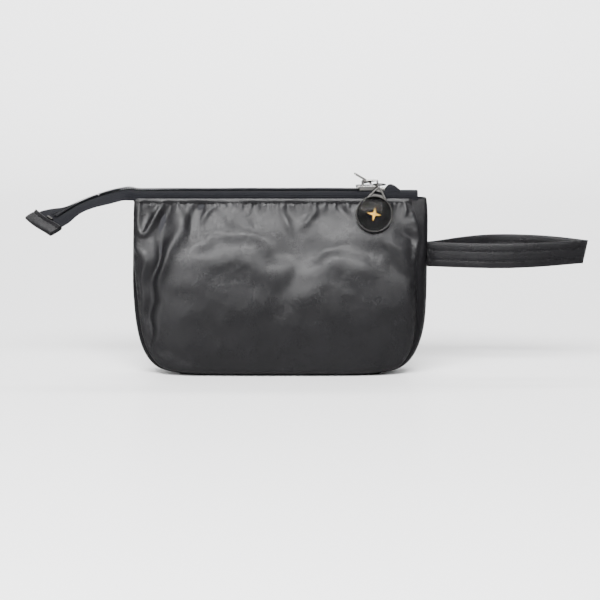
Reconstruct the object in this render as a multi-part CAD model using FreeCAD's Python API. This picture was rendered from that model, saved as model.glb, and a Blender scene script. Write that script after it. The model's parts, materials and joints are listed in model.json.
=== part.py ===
import FreeCAD
import Part

import math
import os

from FreeCAD import Vector

# Makeup bag. Millimetres, +Z up, front faces -Y, origin at the centre of the base's underside.

# ---- driving dimensions -------------------------------------------------------------------------
BODY_HALF_WIDTH = 95.3      # widest, about two thirds of the way up
BASE_HALF_WIDTH = 70.0      # flat part of the base
BASE_HALF_DEPTH = 20.0
BELLY_HALF_DEPTH = 26.0     # deepest, a quarter of the way up
TOP_HALF_DEPTH = 6.0
PANEL_TOP = 114.0           # folded top edge of the leather panels

SKIN = 1.2                  # leather
LINING = 0.6
PLY_GAP = 0.2               # between leather and lining
SEAM_GAP = 0.3              # between panels that part when the mouth opens
LINING_TOP = 104.0
FLOOR_MARGIN = 1.2          # how far the lining's floor stays clear of its walls

GUSSET_HALF_AT_BASE = 15.0  # half width of the side gussets where they meet the base
GUSSET_HALF_AT_TOP = 3.0

TAPE = 0.6                  # woven tape thickness
TAPE_Z = 118.0              # underside of the flat part of the tape
TAPE_EDGE = 5.1             # where the tape turns down
TAPE_TURN_Z = 116.1         # where it slants in towards the seam
TAPE_LEFT = -94.5
TAPE_RIGHT = 89.0
TAPE_TUCK = 84.0            # half length of the part sewn behind the panels
TAPE_TUCK_Z = 110.0
TAPE_TUCK_FACE = 4.0
TAPE_FOLD_LENGTH = 8.0
TAPE_FOLD_HEIGHT = 3.8
TAPE_FOLD_GAP = 0.6         # from the top stop
COIL_GAP = 0.95             # half of the slot that the slider's divider runs in
COIL_OUTER = 2.9
COIL_HEIGHT = 1.8
COIL_RIGHT = 65.6
STOP_LENGTH = 2.4

SLIDER_X = 56.3             # centre of the slider with the zip shut
SLIDER_HALF_LENGTH = 7.3
SLIDER_HALF_WIDTH = 4.6
PLATE = 1.2
SLIDER_TOP = 122.0
SLIDER_PLAY = 0.4           # between slider and tape, above and below
SLIDER_CHEEK = 1.0
SLIDER_CORNER = 2.2
SOLE_HALF_WIDTH = 4.2
DIVIDER_LENGTH = 2.4
CROWN_HALF_WIDTH = 1.2
CROWN_BAR = 1.0
CROWN_TOP = 125.6
TAB_LENGTH = 12.5
TAB_THICKNESS = 0.9
TAB_HALF_WIDTH = 3.3
TAB_ANGLE = 149.0           # direction in which the pull tab points at rest, from +X towards +Z

RING_RADIUS = 4.0
RING_WIRE = 0.4
RING_X = 64.2               # the ring lies on the slider, round the crown's right leg
RING_Y = -1.6
CHARM_RADIUS = 12.1
CHARM_FACE_RADIUS = 10.2
CHARM_REACH = 19.6          # from the ring's wire to the middle of the disc
CHARM_LEAN = 19.5           # degrees out from vertical, lying against the front panel
CHARM_SWAY = 10.5           # degrees to the left
EYELET_RADIUS = 1.25        # loop on the charm that goes round the ring's wire
EYELET_WIRE = 0.3
EYELET_DROP = 0.35          # from the ring's wire to the middle of the eyelet
NECK_TOP = 1.5              # down from the ring's wire
NECK_HALF_AT_TOP = 1.0
NECK_HALF_AT_FOOT = 6.6
CHARM_PLATE = 1.0
CHARM_RIM = 1.5             # height of the rim over the plate

STRAP_LOW = 69.4
STRAP_WIDTH = 16.0
STRAP_ROOT = 97.6
STRAP_END = 199.0
STRAP_FRONT_BOW = -9.0      # how far each run of the loop bows out, front and back
STRAP_BACK_BOW = 18.0
STRAP_FRONT_DRIFT = 4.0     # how far each run has moved back by the time it reaches the fold
STRAP_BACK_DRIFT = 1.8
STRAP_HALF_GAP = 1.1        # half of the distance between the runs at the root
STRAP_OUTER_PLY = 1.2
STRAP_INNER_PLY = 0.8
INNER_FOLD_SHARE = 0.025    # share of the length by which each millimetre inwards folds earlier

# Height, half width, half depth and squareness of the body's cross-sections.
BODY_PROFILE = [
    (0.0, BASE_HALF_WIDTH, BASE_HALF_DEPTH, 4.5),
    (4.0, 79.0, 22.6, 4.2),
    (12.0, 86.6, 24.8, 3.8),
    (26.0, 91.6, BELLY_HALF_DEPTH, 3.4),
    (44.0, 94.2, 25.2, 3.2),
    (62.0, BODY_HALF_WIDTH, 22.4, 3.4),
    (80.0, BODY_HALF_WIDTH, 18.2, 4.2),
    (96.0, BODY_HALF_WIDTH, 13.2, 5.0),
    (107.0, BODY_HALF_WIDTH, 9.0, 6.0),
    (PANEL_TOP, BODY_HALF_WIDTH, TOP_HALF_DEPTH, 6.0),
]
SECTION_POINTS = 48

# Zip tail: middle, front edge and rear edge of the tape at stations away from the bag.
TAIL_NEAR = [
    (Vector(-97.6, 0.0, 120.0), Vector(-97.6, -8.0, 113.6), Vector(-97.6, 8.0, 113.9)),
    (Vector(-109.0, 1.0, 117.6), Vector(-108.6, -8.4, 111.4), Vector(-109.4, 10.0, 112.2)),
    (Vector(-120.0, 2.0, 114.2), Vector(-119.0, -8.6, 108.8), Vector(-121.0, 12.0, 110.0)),
]
TAIL_FAR = [
    (Vector(-120.6, 2.0, 113.9), Vector(-119.6, -8.6, 108.5), Vector(-121.6, 12.0, 109.7)),
    (Vector(-135.0, 4.0, 107.4), Vector(-132.5, -7.6, 102.2), Vector(-138.5, 13.0, 105.6)),
    (Vector(-149.5, 0.0, 98.8), Vector(-141.0, -9.0, 95.0), Vector(-158.0, 9.0, 102.6)),
]
TAIL_TUCK = 4.5             # length of tape hidden in the end tab
TAIL_COIL_START = 0.1       # as a share of each wing's width
TAIL_COIL_END = 0.34
TAIL_COIL_HEIGHT = 1.4
TAIL_COIL_GAP = 0.12        # between the coil and the tape under it
END_TAB_LENGTH = 9.5
END_TAB_LEAF = 0.9
END_TAB_SLOT = 1.0


def export(name, shape):
    """Writes one piece, which has to be sound and made of whole solids."""
    if not shape.isValid() or not shape.Solids:
        raise RuntimeError(f"{name} is not a sound solid")
    if len(shape.Solids) == 1:
        shape = shape.Solids[0]
    shape.exportStep(f"parts/{name}.step")


def box(low, high):
    """A block between two opposite corners."""
    size = [h - l for l, h in zip(low, high)]
    return Part.makeBox(*size, Vector(*low))


def prism_x(points_yz, x_low, x_high):
    """An outline in the YZ plane, drawn out along X."""
    loop = [Vector(x_low, y, z) for y, z in points_yz]
    face = Part.Face(Part.makePolygon(loop + loop[:1]))
    return face.extrude(Vector(x_high - x_low, 0, 0))


def prism_y(points_xz, y_low, y_high):
    """An outline in the XZ plane, drawn out along Y."""
    loop = [Vector(x, y_low, z) for x, z in points_xz]
    face = Part.Face(Part.makePolygon(loop + loop[:1]))
    return face.extrude(Vector(0, y_high - y_low, 0))


def mirrored_y(shape):
    return shape.mirror(Vector(0, 0, 0), Vector(0, 1, 0))


def mirrored_x(shape):
    return shape.mirror(Vector(0, 0, 0), Vector(1, 0, 0))


# ---- body ---------------------------------------------------------------------------------------
def body_size(z):
    """Half width, half depth and squareness at a height, between the rows of the profile."""
    for low, high in zip(BODY_PROFILE, BODY_PROFILE[1:]):
        if z <= high[0]:
            break
    share = (z - low[0]) / (high[0] - low[0])
    return [l + share * (h - l) for l, h in zip(low[1:], high[1:])]


def body_section(z, inset):
    """The closed superellipse around the body at one height, set in from the outside."""
    half_width, half_depth, square = body_size(z)
    points = []
    for k in range(SECTION_POINTS):
        turn = 2 * math.pi * (k + 0.5) / SECTION_POINTS
        c, s = math.cos(turn), math.sin(turn)
        x = math.copysign(abs(c) ** (2 / square), c) * (half_width - inset)
        y = math.copysign(abs(s) ** (2 / square), s) * (half_depth - inset)
        points.append(Vector(x, y, z))
    curve = Part.BSplineCurve()
    curve.interpolate(points, PeriodicFlag=True)
    return Part.Wire(curve.toShape())


def body_solid(inset, bottom, top):
    """The body's form, set in from the outside, between two heights."""
    heights = [z for z, *_ in BODY_PROFILE if bottom + 2 < z < top - 2]
    sections = [body_section(z, inset) for z in [bottom, *heights, top]]
    return Part.makeLoft(sections, True, False)


def side_wedge(gap):
    """The space in front of the gussets, whose edges lean in towards the zip."""
    slope = (GUSSET_HALF_AT_BASE - GUSSET_HALF_AT_TOP) / PANEL_TOP
    low, high = -10.0, PANEL_TOP + 10.0
    low_edge = GUSSET_HALF_AT_BASE - slope * low + gap
    high_edge = GUSSET_HALF_AT_BASE - slope * high + gap
    outline = [(-60, low), (-low_edge, low), (-high_edge, high), (-60, high)]
    return prism_x(outline, -120, 120)


def split_walls(shell):
    """Front, back, left and right pieces of a wall that runs right round."""
    front = shell.common(side_wedge(0.0))
    back = mirrored_y(front)
    middle = shell.cut(side_wedge(-SEAM_GAP)).cut(mirrored_y(side_wedge(-SEAM_GAP)))
    right = middle.common(box((0, -60, -10), (120, 60, 130)))
    return front, back, mirrored_x(right), right


def build_body():
    outer = body_solid(0.0, 0.0, PANEL_TOP)
    hollow = body_solid(SKIN, 0.0, PANEL_TOP)
    above_base = box((-120, -60, SKIN + SEAM_GAP), (120, 60, PANEL_TOP + 1))
    shell = outer.cut(hollow).common(above_base)
    names = ("front_panel", "back_panel", "left_gusset", "right_gusset")
    for name, piece in zip(names, split_walls(shell)):
        export(name, piece)
    export("base_panel", outer.common(box((-120, -60, -1), (120, 60, SKIN))))


def build_lining():
    face = SKIN + PLY_GAP
    outer = body_solid(face, 0.0, LINING_TOP)
    hollow = body_solid(face + LINING, 0.0, LINING_TOP)
    floor_top = face + LINING
    above_floor = box((-120, -60, floor_top + SEAM_GAP), (120, 60, LINING_TOP + 1))
    shell = outer.cut(hollow).common(above_floor)
    names = ("front_lining", "back_lining", "left_gusset_lining", "right_gusset_lining")
    for name, piece in zip(names, split_walls(shell)):
        export(name, piece)
    floor = body_solid(face + FLOOR_MARGIN, 0.0, LINING_TOP)
    export("base_lining", floor.common(box((-120, -60, face), (120, 60, floor_top))))


# ---- zip ----------------------------------------------------------------------------------------
def build_zip():
    top = TAPE_Z + TAPE
    flat = box((TAPE_LEFT, -TAPE_EDGE, TAPE_Z), (TAPE_RIGHT, -COIL_GAP, top))
    above = PANEL_TOP + SEAM_GAP
    turned_down = [
        (-TAPE_EDGE, TAPE_Z),
        (-TAPE_EDGE, TAPE_TURN_Z),
        (-TAPE_TUCK_FACE, above),
        (TAPE - TAPE_TUCK_FACE, above),
        (TAPE - TAPE_EDGE, TAPE_TURN_Z),
        (TAPE - TAPE_EDGE, TAPE_Z),
    ]
    skirt = prism_x(turned_down, TAPE_LEFT, TAPE_RIGHT)
    tuck = box((-TAPE_TUCK, -TAPE_TUCK_FACE, TAPE_TUCK_Z), (TAPE_TUCK, TAPE - TAPE_TUCK_FACE, above))
    tape = flat.fuse([skirt, tuck]).removeSplitter()
    export("front_zip_tape", tape)
    export("rear_zip_tape", mirrored_y(tape))

    coil = box((TAPE_LEFT, -COIL_OUTER, top), (COIL_RIGHT, -COIL_GAP, top + COIL_HEIGHT))
    export("front_zip_coil", coil)
    export("rear_zip_coil", mirrored_y(coil))

    stop_end = COIL_RIGHT + STOP_LENGTH
    stop = box((COIL_RIGHT, -COIL_OUTER - 0.3, top), (stop_end, -COIL_GAP, top + COIL_HEIGHT))
    export("front_top_stop", stop)
    export("rear_top_stop", mirrored_y(stop))

    # the tape's cut ends turn back on themselves beside the stops and are tacked down
    fold_start = stop_end + TAPE_FOLD_GAP
    fold = [
        (fold_start, top),
        (fold_start + TAPE_FOLD_LENGTH, top),
        (fold_start + 0.9 * TAPE_FOLD_LENGTH, top + 0.6 * TAPE_FOLD_HEIGHT),
        (fold_start + 0.5 * TAPE_FOLD_LENGTH, top + TAPE_FOLD_HEIGHT),
        (fold_start + 0.1 * TAPE_FOLD_LENGTH, top + 0.8 * TAPE_FOLD_HEIGHT),
    ]
    export("front_tape_fold", prism_y(fold, -TAPE_EDGE + 0.6, -0.3))
    export("rear_tape_fold", prism_y(fold, 0.3, TAPE_EDGE - 0.6))


def build_slider():
    left, right = SLIDER_X - SLIDER_HALF_LENGTH, SLIDER_X + SLIDER_HALF_LENGTH
    under_lid = SLIDER_TOP - PLATE
    sole_top = TAPE_Z - SLIDER_PLAY
    lid = box((left, -SLIDER_HALF_WIDTH, under_lid), (right, SLIDER_HALF_WIDTH, SLIDER_TOP))
    lid = lid.makeFillet(SLIDER_CORNER, [e for e in lid.Edges if e.Length < PLATE + 0.01])
    wall_low = (left + SLIDER_CORNER, -SLIDER_HALF_WIDTH, TAPE_Z + TAPE + SLIDER_PLAY)
    wall = box(wall_low, (right - SLIDER_CORNER, SLIDER_CHEEK - SLIDER_HALF_WIDTH, under_lid))
    sole = box((left + 0.6, -SOLE_HALF_WIDTH, sole_top - PLATE), (right - 0.6, SOLE_HALF_WIDTH, sole_top))
    sole = sole.makeFillet(SLIDER_CORNER, [e for e in sole.Edges if e.Length < PLATE + 0.01])
    slot = COIL_GAP - 0.2
    divider = box((right - 1.0 - DIVIDER_LENGTH, -slot, sole_top), (right - 1.0, slot, under_lid))
    body = lid.fuse([wall, mirrored_y(wall), sole, divider]).removeSplitter()
    export("slider_body", body)

    crown_left = left + 3.6
    under = CROWN_TOP - CROWN_BAR
    arch = [
        (crown_left, SLIDER_TOP),
        (crown_left + CROWN_BAR, SLIDER_TOP),
        (crown_left + CROWN_BAR, under),
        (right - 1.2, under),
        (right - 1.2, SLIDER_TOP),
        (right, SLIDER_TOP),
        (right, CROWN_TOP - 0.7),
        (right - 0.7, CROWN_TOP),
        (crown_left + 0.9, CROWN_TOP),
        (crown_left, CROWN_TOP - 0.9),
    ]
    export("slider_crown", prism_y(arch, -CROWN_HALF_WIDTH, CROWN_HALF_WIDTH))

    spring_left = crown_left + CROWN_BAR + 0.1
    spring = [
        (spring_left, SLIDER_TOP + 0.1),
        (spring_left + 0.6, SLIDER_TOP + 0.1),
        (spring_left + 0.6, under - 0.6),
        (spring_left + 3.4, under - 0.6),
        (spring_left + 3.4, under - 0.2),
        (spring_left, under - 0.2),
    ]
    export("lock_spring", prism_y(spring, -0.8, 0.8))


def build_pull_tab():
    """A flat tab whose eye goes round the crown, leaning back over it."""
    eye_start, eye_end = 1.15, 7.0
    half = TAB_THICKNESS / 2
    plate = box((-0.6, -TAB_HALF_WIDTH, -half), (TAB_LENGTH, TAB_HALF_WIDTH, half))
    plate = plate.makeFillet(1.6, [e for e in plate.Edges if e.Length < TAB_THICKNESS + 0.01])
    eye = box((eye_start, -2.0, -half - 1), (eye_end, 2.0, half + 1))
    hole = Part.makeCylinder(1.3, TAB_THICKNESS + 2, Vector(TAB_LENGTH - 2.9, 0, -half - 1))
    tab = plate.cut(eye).cut(hole)
    tab.rotate(Vector(0, 0, 0), Vector(0, 1, 0), -TAB_ANGLE)
    tab.translate(Vector(SLIDER_X + 2.4, 0, SLIDER_TOP + 1.3))
    export("pull_tab", tab)


def build_charm():
    """A ring round the crown's right leg, and a domed disc that hangs from the ring."""
    wire_z = SLIDER_TOP + RING_WIRE + 0.15
    ring = Part.makeTorus(RING_RADIUS, RING_WIRE, Vector(RING_X, RING_Y, wire_z))
    export("charm_ring", ring)

    # local frame: the wire at the origin, X across, Y down the charm, Z out of its face
    back, front = -CHARM_PLATE / 2, CHARM_PLATE / 2
    middle = Vector(0, CHARM_REACH, 0)
    disc = Part.makeCylinder(CHARM_RADIUS, CHARM_PLATE, middle + Vector(0, 0, back))
    eyelet = Part.makeTorus(EYELET_RADIUS, EYELET_WIRE, Vector(0, EYELET_DROP, 0), Vector(1, 0, 0))
    foot = CHARM_REACH - CHARM_RADIUS + 2.2
    neck = flat_plate([
        (-NECK_HALF_AT_TOP, NECK_TOP),
        (NECK_HALF_AT_TOP, NECK_TOP),
        (NECK_HALF_AT_FOOT, foot),
        (-NECK_HALF_AT_FOOT, foot),
    ], back, CHARM_PLATE)
    window = flat_plate([(-1.0, 4.2), (1.0, 4.2), (2.9, 6.4), (-2.9, 6.4)], back - 1, CHARM_PLATE + 2)
    rim = Part.makeCylinder(CHARM_RADIUS, CHARM_RIM, middle + Vector(0, 0, front))
    well = Part.makeCylinder(CHARM_FACE_RADIUS + 0.05, CHARM_RIM, middle + Vector(0, 0, front))
    cup = disc.fuse([eyelet, neck, rim.cut(well)]).cut(window).removeSplitter()

    insert_height = 0.5
    insert = Part.makeCylinder(CHARM_FACE_RADIUS, insert_height, Vector(0, CHARM_REACH, front))
    motif_height = 0.15
    motif_base = front + insert_height
    motif = four_pointed_star(4.6, 1.2, motif_base, motif_height)
    dome = resin_dome(motif_base + motif_height + 0.02)

    axis_frame = FreeCAD.Placement(Vector(RING_X, RING_Y - RING_RADIUS, wire_z), charm_rotation())
    for name, piece in (("charm_cup", cup), ("charm_insert", insert),
                        ("charm_motif", motif), ("charm_dome", dome)):
        piece.Placement = axis_frame.multiply(piece.Placement)
        export(name, piece)


def flat_plate(corners, base, height):
    """A plate with the given outline in its own XY plane."""
    loop = [Vector(x, y, base) for x, y in corners]
    return Part.Face(Part.makePolygon(loop + loop[:1])).extrude(Vector(0, 0, height))


def charm_rotation():
    """Turns the charm's own frame to hang down, sway to the left and lean out at the foot."""
    lean, sway = math.radians(CHARM_LEAN), math.radians(CHARM_SWAY)
    face = Vector(0, -math.cos(lean), math.sin(lean))
    slope = Vector(0, -math.sin(lean), -math.cos(lean))
    down = slope * math.cos(sway) + Vector(-1, 0, 0) * math.sin(sway)
    across = down.cross(face)
    matrix = FreeCAD.Matrix(across.x, down.x, face.x, 0, across.y, down.y, face.y, 0,
                            across.z, down.z, face.z, 0, 0, 0, 0, 1)
    return FreeCAD.Rotation(matrix)


def four_pointed_star(long_reach, waist, base, height):
    """A plain star with four slim points, used as decoration on the disc."""
    corners = []
    for k in range(8):
        reach = long_reach if k % 2 == 0 else waist
        turn = math.radians(45 * k)
        corners.append((reach * math.sin(turn), CHARM_REACH + reach * math.cos(turn)))
    return flat_plate(corners, base, height)


def resin_dome(base):
    """A shallow lens of clear resin that fills the cup up to its rim and swells over it."""
    rise = 1.5
    cup_top = CHARM_PLATE / 2 + CHARM_RIM
    radius = CHARM_FACE_RADIUS
    cap_radius = (radius ** 2 + rise ** 2) / (2 * rise)
    plug = Part.makeCylinder(radius, cup_top - base, Vector(0, CHARM_REACH, base))
    ball = Part.makeSphere(cap_radius, Vector(0, CHARM_REACH, cup_top + rise - cap_radius))
    above = Part.makeCylinder(radius, rise + 1, Vector(0, CHARM_REACH, cup_top))
    return plug.fuse(ball.common(above)).removeSplitter()


# ---- zip tail -----------------------------------------------------------------------------------
def tail_strip(stations, side, start, end, low, high):
    """A strip along one wing of the tail, from start to end of its width, between two heights."""
    wires = []
    for middle, front_edge, rear_edge in stations:
        edge = front_edge if side == "front" else rear_edge
        across = edge - middle
        up = across.cross(Vector(1, 0, 0))
        if up.z < 0:
            up = up * -1
        up.normalize()
        corners = [
            middle + across * start + up * low,
            middle + across * end + up * low,
            middle + across * end + up * high,
            middle + across * start + up * high,
        ]
        wires.append(Part.makePolygon(corners + corners[:1]))
    return Part.makeLoft(wires, True, True)


def end_tab_frame():
    """Directions of the end tab: along the tape's cut end, out along the tail, and up."""
    middle, front_edge, rear_edge = TAIL_FAR[-1]
    along = (rear_edge - front_edge).normalize()
    outward = Vector(-7.0, -5.0, -4.0)
    outward = (outward - along * outward.dot(along)).normalize()
    up = outward.cross(along)
    if up.z < 0:
        up = up * -1
    return middle, along, outward, up


def build_tail():
    half = TAPE / 2
    coil_low = half + TAIL_COIL_GAP
    coil_high = half + TAIL_COIL_HEIGHT
    for side in ("front", "rear"):
        export(f"tail_{side}_tape", tail_strip(TAIL_NEAR, side, 0.06, 1.0, -half, half))
        coil = tail_strip(TAIL_NEAR, side, TAIL_COIL_START, TAIL_COIL_END, coil_low, coil_high)
        export(f"tail_{side}_coil", coil)

    middle, along, outward, up = end_tab_frame()
    tucked = [point + outward * TAIL_TUCK for point in TAIL_FAR[-1]]
    stations = TAIL_FAR + [tuple(tucked)]
    for side in ("front", "rear"):
        export(f"tail_end_{side}_tape", tail_strip(stations, side, 0.06, 1.0, -half, half))
        near_tab = tuple(a * 0.16 + b * 0.84 for a, b in zip(TAIL_FAR[-2], TAIL_FAR[-1]))
        coil_stations = TAIL_FAR[:-1] + [near_tab]
        coil = tail_strip(coil_stations, side, TAIL_COIL_START, TAIL_COIL_END, coil_low, coil_high)
        export(f"tail_end_{side}_coil", coil)

    width = (TAIL_FAR[-1][2] - TAIL_FAR[-1][1]).Length + 1.6
    slot = box((-width, -1.0, -END_TAB_SLOT / 2), (width, TAIL_TUCK + 0.8, END_TAB_SLOT / 2))
    reach = END_TAB_SLOT / 2 + END_TAB_LEAF
    leaf = box((-width / 2, 0.0, -reach), (width / 2, END_TAB_LENGTH, reach))
    stop = box((-2.6, -2.0, half + 0.5), (2.6, -0.4, half + 2.0))
    matrix = FreeCAD.Matrix(along.x, outward.x, up.x, middle.x, along.y, outward.y, up.y, middle.y,
                            along.z, outward.z, up.z, middle.z, 0, 0, 0, 1)
    if along.cross(outward).dot(up) < 0:
        raise RuntimeError("the end tab's directions are left-handed")
    place = FreeCAD.Placement(matrix)
    for name, piece in (("tail_end_tab", leaf.cut(slot)), ("bottom_stop", stop)):
        piece.Placement = place.multiply(piece.Placement)
        export(name, piece)


# ---- wrist strap --------------------------------------------------------------------------------
def strap_run(side, share):
    """A point of the loop's middle line and its outward direction, at a share of its length."""
    def place(u):
        x = STRAP_ROOT + (STRAP_END - STRAP_ROOT) * u
        if side == "front":
            y = STRAP_FRONT_BOW * math.sin(math.pi * u) + STRAP_FRONT_DRIFT * u - STRAP_HALF_GAP
        else:
            y = STRAP_BACK_BOW * math.sin(math.pi * u) + STRAP_BACK_DRIFT * u + STRAP_HALF_GAP
        return x, y
    step = 1e-4
    x, y = place(share)
    ahead, behind = place(share + step), place(share - step)
    dx, dy = ahead[0] - behind[0], ahead[1] - behind[1]
    length = math.hypot(dx, dy)
    sign = 1 if side == "front" else -1
    return Vector(x, y, STRAP_LOW), Vector(sign * dy / length, -sign * dx / length, 0)


def strap_curve(side, offset, shares):
    """The loop's run on one side, moved outwards by an offset."""
    points = []
    for share in shares:
        middle, outward = strap_run(side, share)
        points.append(middle + outward * offset)
    return points


def strap_outline(offset):
    """Front run, fold and back run of the loop at an offset from its middle line."""
    count = 12
    last = 1.0 if offset > 0 else 1.0 + offset * INNER_FOLD_SHARE
    shares = [last * k / count for k in range(count + 1)]
    front = strap_curve("front", offset, shares)
    back = strap_curve("back", offset, shares)
    return front, back


def spline(points):
    curve = Part.BSplineCurve()
    curve.interpolate(points)
    return curve.toShape()


def strap_ply(outer_offset, inner_offset):
    """A ply that runs out along the front, folds at the end and comes back."""
    outer_front, outer_back = strap_outline(outer_offset)
    inner_front, inner_back = strap_outline(inner_offset)
    edges = [
        spline(outer_front),
        Part.makeLine(outer_front[-1], outer_back[-1]),
        spline(outer_back),
        Part.makeLine(outer_back[0], inner_back[0]),
        spline(inner_back),
        Part.makeLine(inner_back[-1], inner_front[-1]),
        spline(inner_front),
        Part.makeLine(inner_front[0], outer_front[0]),
    ]
    face = Part.Face(Part.Wire(Part.sortEdges(edges)[0]))
    return face.extrude(Vector(0, 0, STRAP_WIDTH))


def build_strap():
    total = STRAP_OUTER_PLY + STRAP_INNER_PLY
    outside = total / 2
    between = outside - STRAP_OUTER_PLY
    export("strap_outer", strap_ply(outside, between + 0.02))
    export("strap_lining", strap_ply(between - 0.02, -outside))


os.makedirs("parts", exist_ok=True)
build_body()
build_lining()
build_zip()
build_slider()
build_pull_tab()
build_charm()
build_tail()
build_strap()
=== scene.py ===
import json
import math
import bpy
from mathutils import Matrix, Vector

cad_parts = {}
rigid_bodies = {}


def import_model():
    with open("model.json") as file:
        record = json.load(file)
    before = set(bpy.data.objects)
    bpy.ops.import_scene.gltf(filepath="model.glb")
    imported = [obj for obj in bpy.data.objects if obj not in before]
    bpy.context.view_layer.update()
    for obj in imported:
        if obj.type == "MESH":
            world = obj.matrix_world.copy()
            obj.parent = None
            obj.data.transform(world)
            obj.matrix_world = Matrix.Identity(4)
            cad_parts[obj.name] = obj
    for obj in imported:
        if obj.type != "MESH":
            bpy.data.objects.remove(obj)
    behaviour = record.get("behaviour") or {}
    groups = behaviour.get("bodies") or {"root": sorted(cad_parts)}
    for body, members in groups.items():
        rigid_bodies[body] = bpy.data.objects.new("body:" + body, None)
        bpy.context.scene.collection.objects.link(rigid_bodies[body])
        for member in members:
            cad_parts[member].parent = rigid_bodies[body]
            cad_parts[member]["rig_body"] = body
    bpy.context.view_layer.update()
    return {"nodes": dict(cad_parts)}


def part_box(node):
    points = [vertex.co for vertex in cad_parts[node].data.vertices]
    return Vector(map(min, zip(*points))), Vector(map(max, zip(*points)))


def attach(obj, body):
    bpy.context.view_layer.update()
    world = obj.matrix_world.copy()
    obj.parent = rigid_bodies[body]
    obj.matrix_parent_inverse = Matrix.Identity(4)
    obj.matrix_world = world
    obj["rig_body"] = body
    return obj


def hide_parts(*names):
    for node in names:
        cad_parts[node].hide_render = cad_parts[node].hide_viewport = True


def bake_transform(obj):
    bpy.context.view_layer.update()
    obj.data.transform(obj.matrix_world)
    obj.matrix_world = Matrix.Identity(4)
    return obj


bl_info = {
    "name": "Makeup bag",
    "version": (1, 0, 0),
    "blender": (4, 5, 0),
    "location": "3D View > Sidebar > Makeup bag",
    "description": "Builds the soft parts, trim and finishes of a zip-top makeup bag round its frame",
    "category": "Mesh",
}

from functools import cache

import bmesh
import bpy
import numpy as np
from bpy.props import FloatProperty, FloatVectorProperty, PointerProperty
from mathutils import Vector

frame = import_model()

MM = 0.001

# ---- places read from the frame, in millimetres -------------------------------------------------


def node_box(node):
    """Lowest and highest corner of a frame node, in millimetres."""
    low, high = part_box(node)
    return np.array(low) / MM, np.array(high) / MM


PANEL_TOP = node_box("front_panel")[1][2]
TAPE_LOW, TAPE_HIGH = node_box("front_zip_tape")
COIL_LOW, COIL_HIGH = node_box("front_zip_coil")
STRAP_LOW, STRAP_HIGH = node_box("strap_outer")

# Height, half width, half depth and squareness of the body's cross-sections.
BODY_ROWS = np.array([
    (0.0, 67.0, 19.0, 4.6),
    (3.0, 76.0, 21.8, 4.3),
    (8.0, 83.6, 23.8, 4.0),
    (15.0, 88.2, 25.2, 3.7),
    (26.0, 91.9, 26.0, 3.4),
    (44.0, 94.2, 25.2, 3.2),
    (62.0, 95.2, 22.4, 3.4),
    (80.0, 95.3, 18.2, 4.2),
    (96.0, 95.3, 13.2, 5.0),
    (107.0, 95.2, 9.0, 6.0),
    (114.0, 95.0, 6.3, 6.0),
])
GUSSET_AT_BASE, GUSSET_AT_TOP = 15.0, 3.0
# Height, and place of the front's right seam as a share of the half width.
RIGHT_SEAM = np.array([
    (0.0, 0.96), (12.0, 0.962), (30.0, 0.955), (50.0, 0.94), (62.0, 0.93), (73.0, 0.928),
    (83.0, 0.948), (93.0, 0.952), (103.0, 0.925), (109.0, 0.905), (114.0, 0.898),
])


# ---- sizes and colours that a user may change ---------------------------------------------------
class BagSizes(bpy.types.PropertyGroup):
    """Sizes of the soft parts."""
    leather: FloatProperty(
        name="Leather", description="Thickness of the panels",
        default=1.2 * MM, min=0.4 * MM, max=2.5 * MM, subtype="DISTANCE", unit="LENGTH")
    lining: FloatProperty(
        name="Lining", description="Thickness of the lining cloth",
        default=0.6 * MM, min=0.2 * MM, max=1.5 * MM, subtype="DISTANCE", unit="LENGTH")
    crease: FloatProperty(
        name="Crease depth", description="How deep the panels' folds and puckers are",
        default=1.0, min=0.0, max=2.0)
    stitch: FloatProperty(
        name="Stitch length", description="Distance from one stitch to the next",
        default=3.0 * MM, min=1.5 * MM, max=6 * MM, subtype="DISTANCE", unit="LENGTH")
    thread: FloatProperty(
        name="Thread", description="Thickness of the sewing thread",
        default=0.65 * MM, min=0.2 * MM, max=1.0 * MM, subtype="DISTANCE", unit="LENGTH")
    coil_pitch: FloatProperty(
        name="Coil pitch", description="Distance from one turn of the zip's coil to the next",
        default=1.35 * MM, min=0.8 * MM, max=3 * MM, subtype="DISTANCE", unit="LENGTH")


class BagColours(bpy.types.PropertyGroup):
    """Colours of the finishes."""
    leather: FloatVectorProperty(
        name="Leather", description="Satin leather", subtype="COLOR", size=3,
        default=(0.0052, 0.0050, 0.0058), min=0.0, max=1.0)
    lining: FloatVectorProperty(
        name="Lining", description="Lining cloth", subtype="COLOR", size=3,
        default=(0.014, 0.014, 0.016), min=0.0, max=1.0)
    tape: FloatVectorProperty(
        name="Tape", description="Woven zip tape", subtype="COLOR", size=3,
        default=(0.0030, 0.0032, 0.0046), min=0.0, max=1.0)
    thread: FloatVectorProperty(
        name="Thread", description="Sewing thread", subtype="COLOR", size=3,
        default=(0.0035, 0.0035, 0.0042), min=0.0, max=1.0)
    nickel: FloatVectorProperty(
        name="Nickel", description="Plated metal", subtype="COLOR", size=3,
        default=(0.36, 0.35, 0.335), min=0.0, max=1.0)
    gold: FloatVectorProperty(
        name="Gold", description="Foil motif", subtype="COLOR", size=3,
        default=(0.22, 0.125, 0.022), min=0.0, max=1.0)


def sizes():
    """The sizes set for this scene."""
    return bpy.context.scene.makeup_bag_sizes


def colours():
    """The colours set for this scene."""
    return bpy.context.scene.makeup_bag_colours


# ---- mesh making --------------------------------------------------------------------------------
def unit(vectors):
    """The vectors scaled to length one."""
    return vectors / np.maximum(np.linalg.norm(vectors, axis=-1, keepdims=True), 1e-12)


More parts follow.
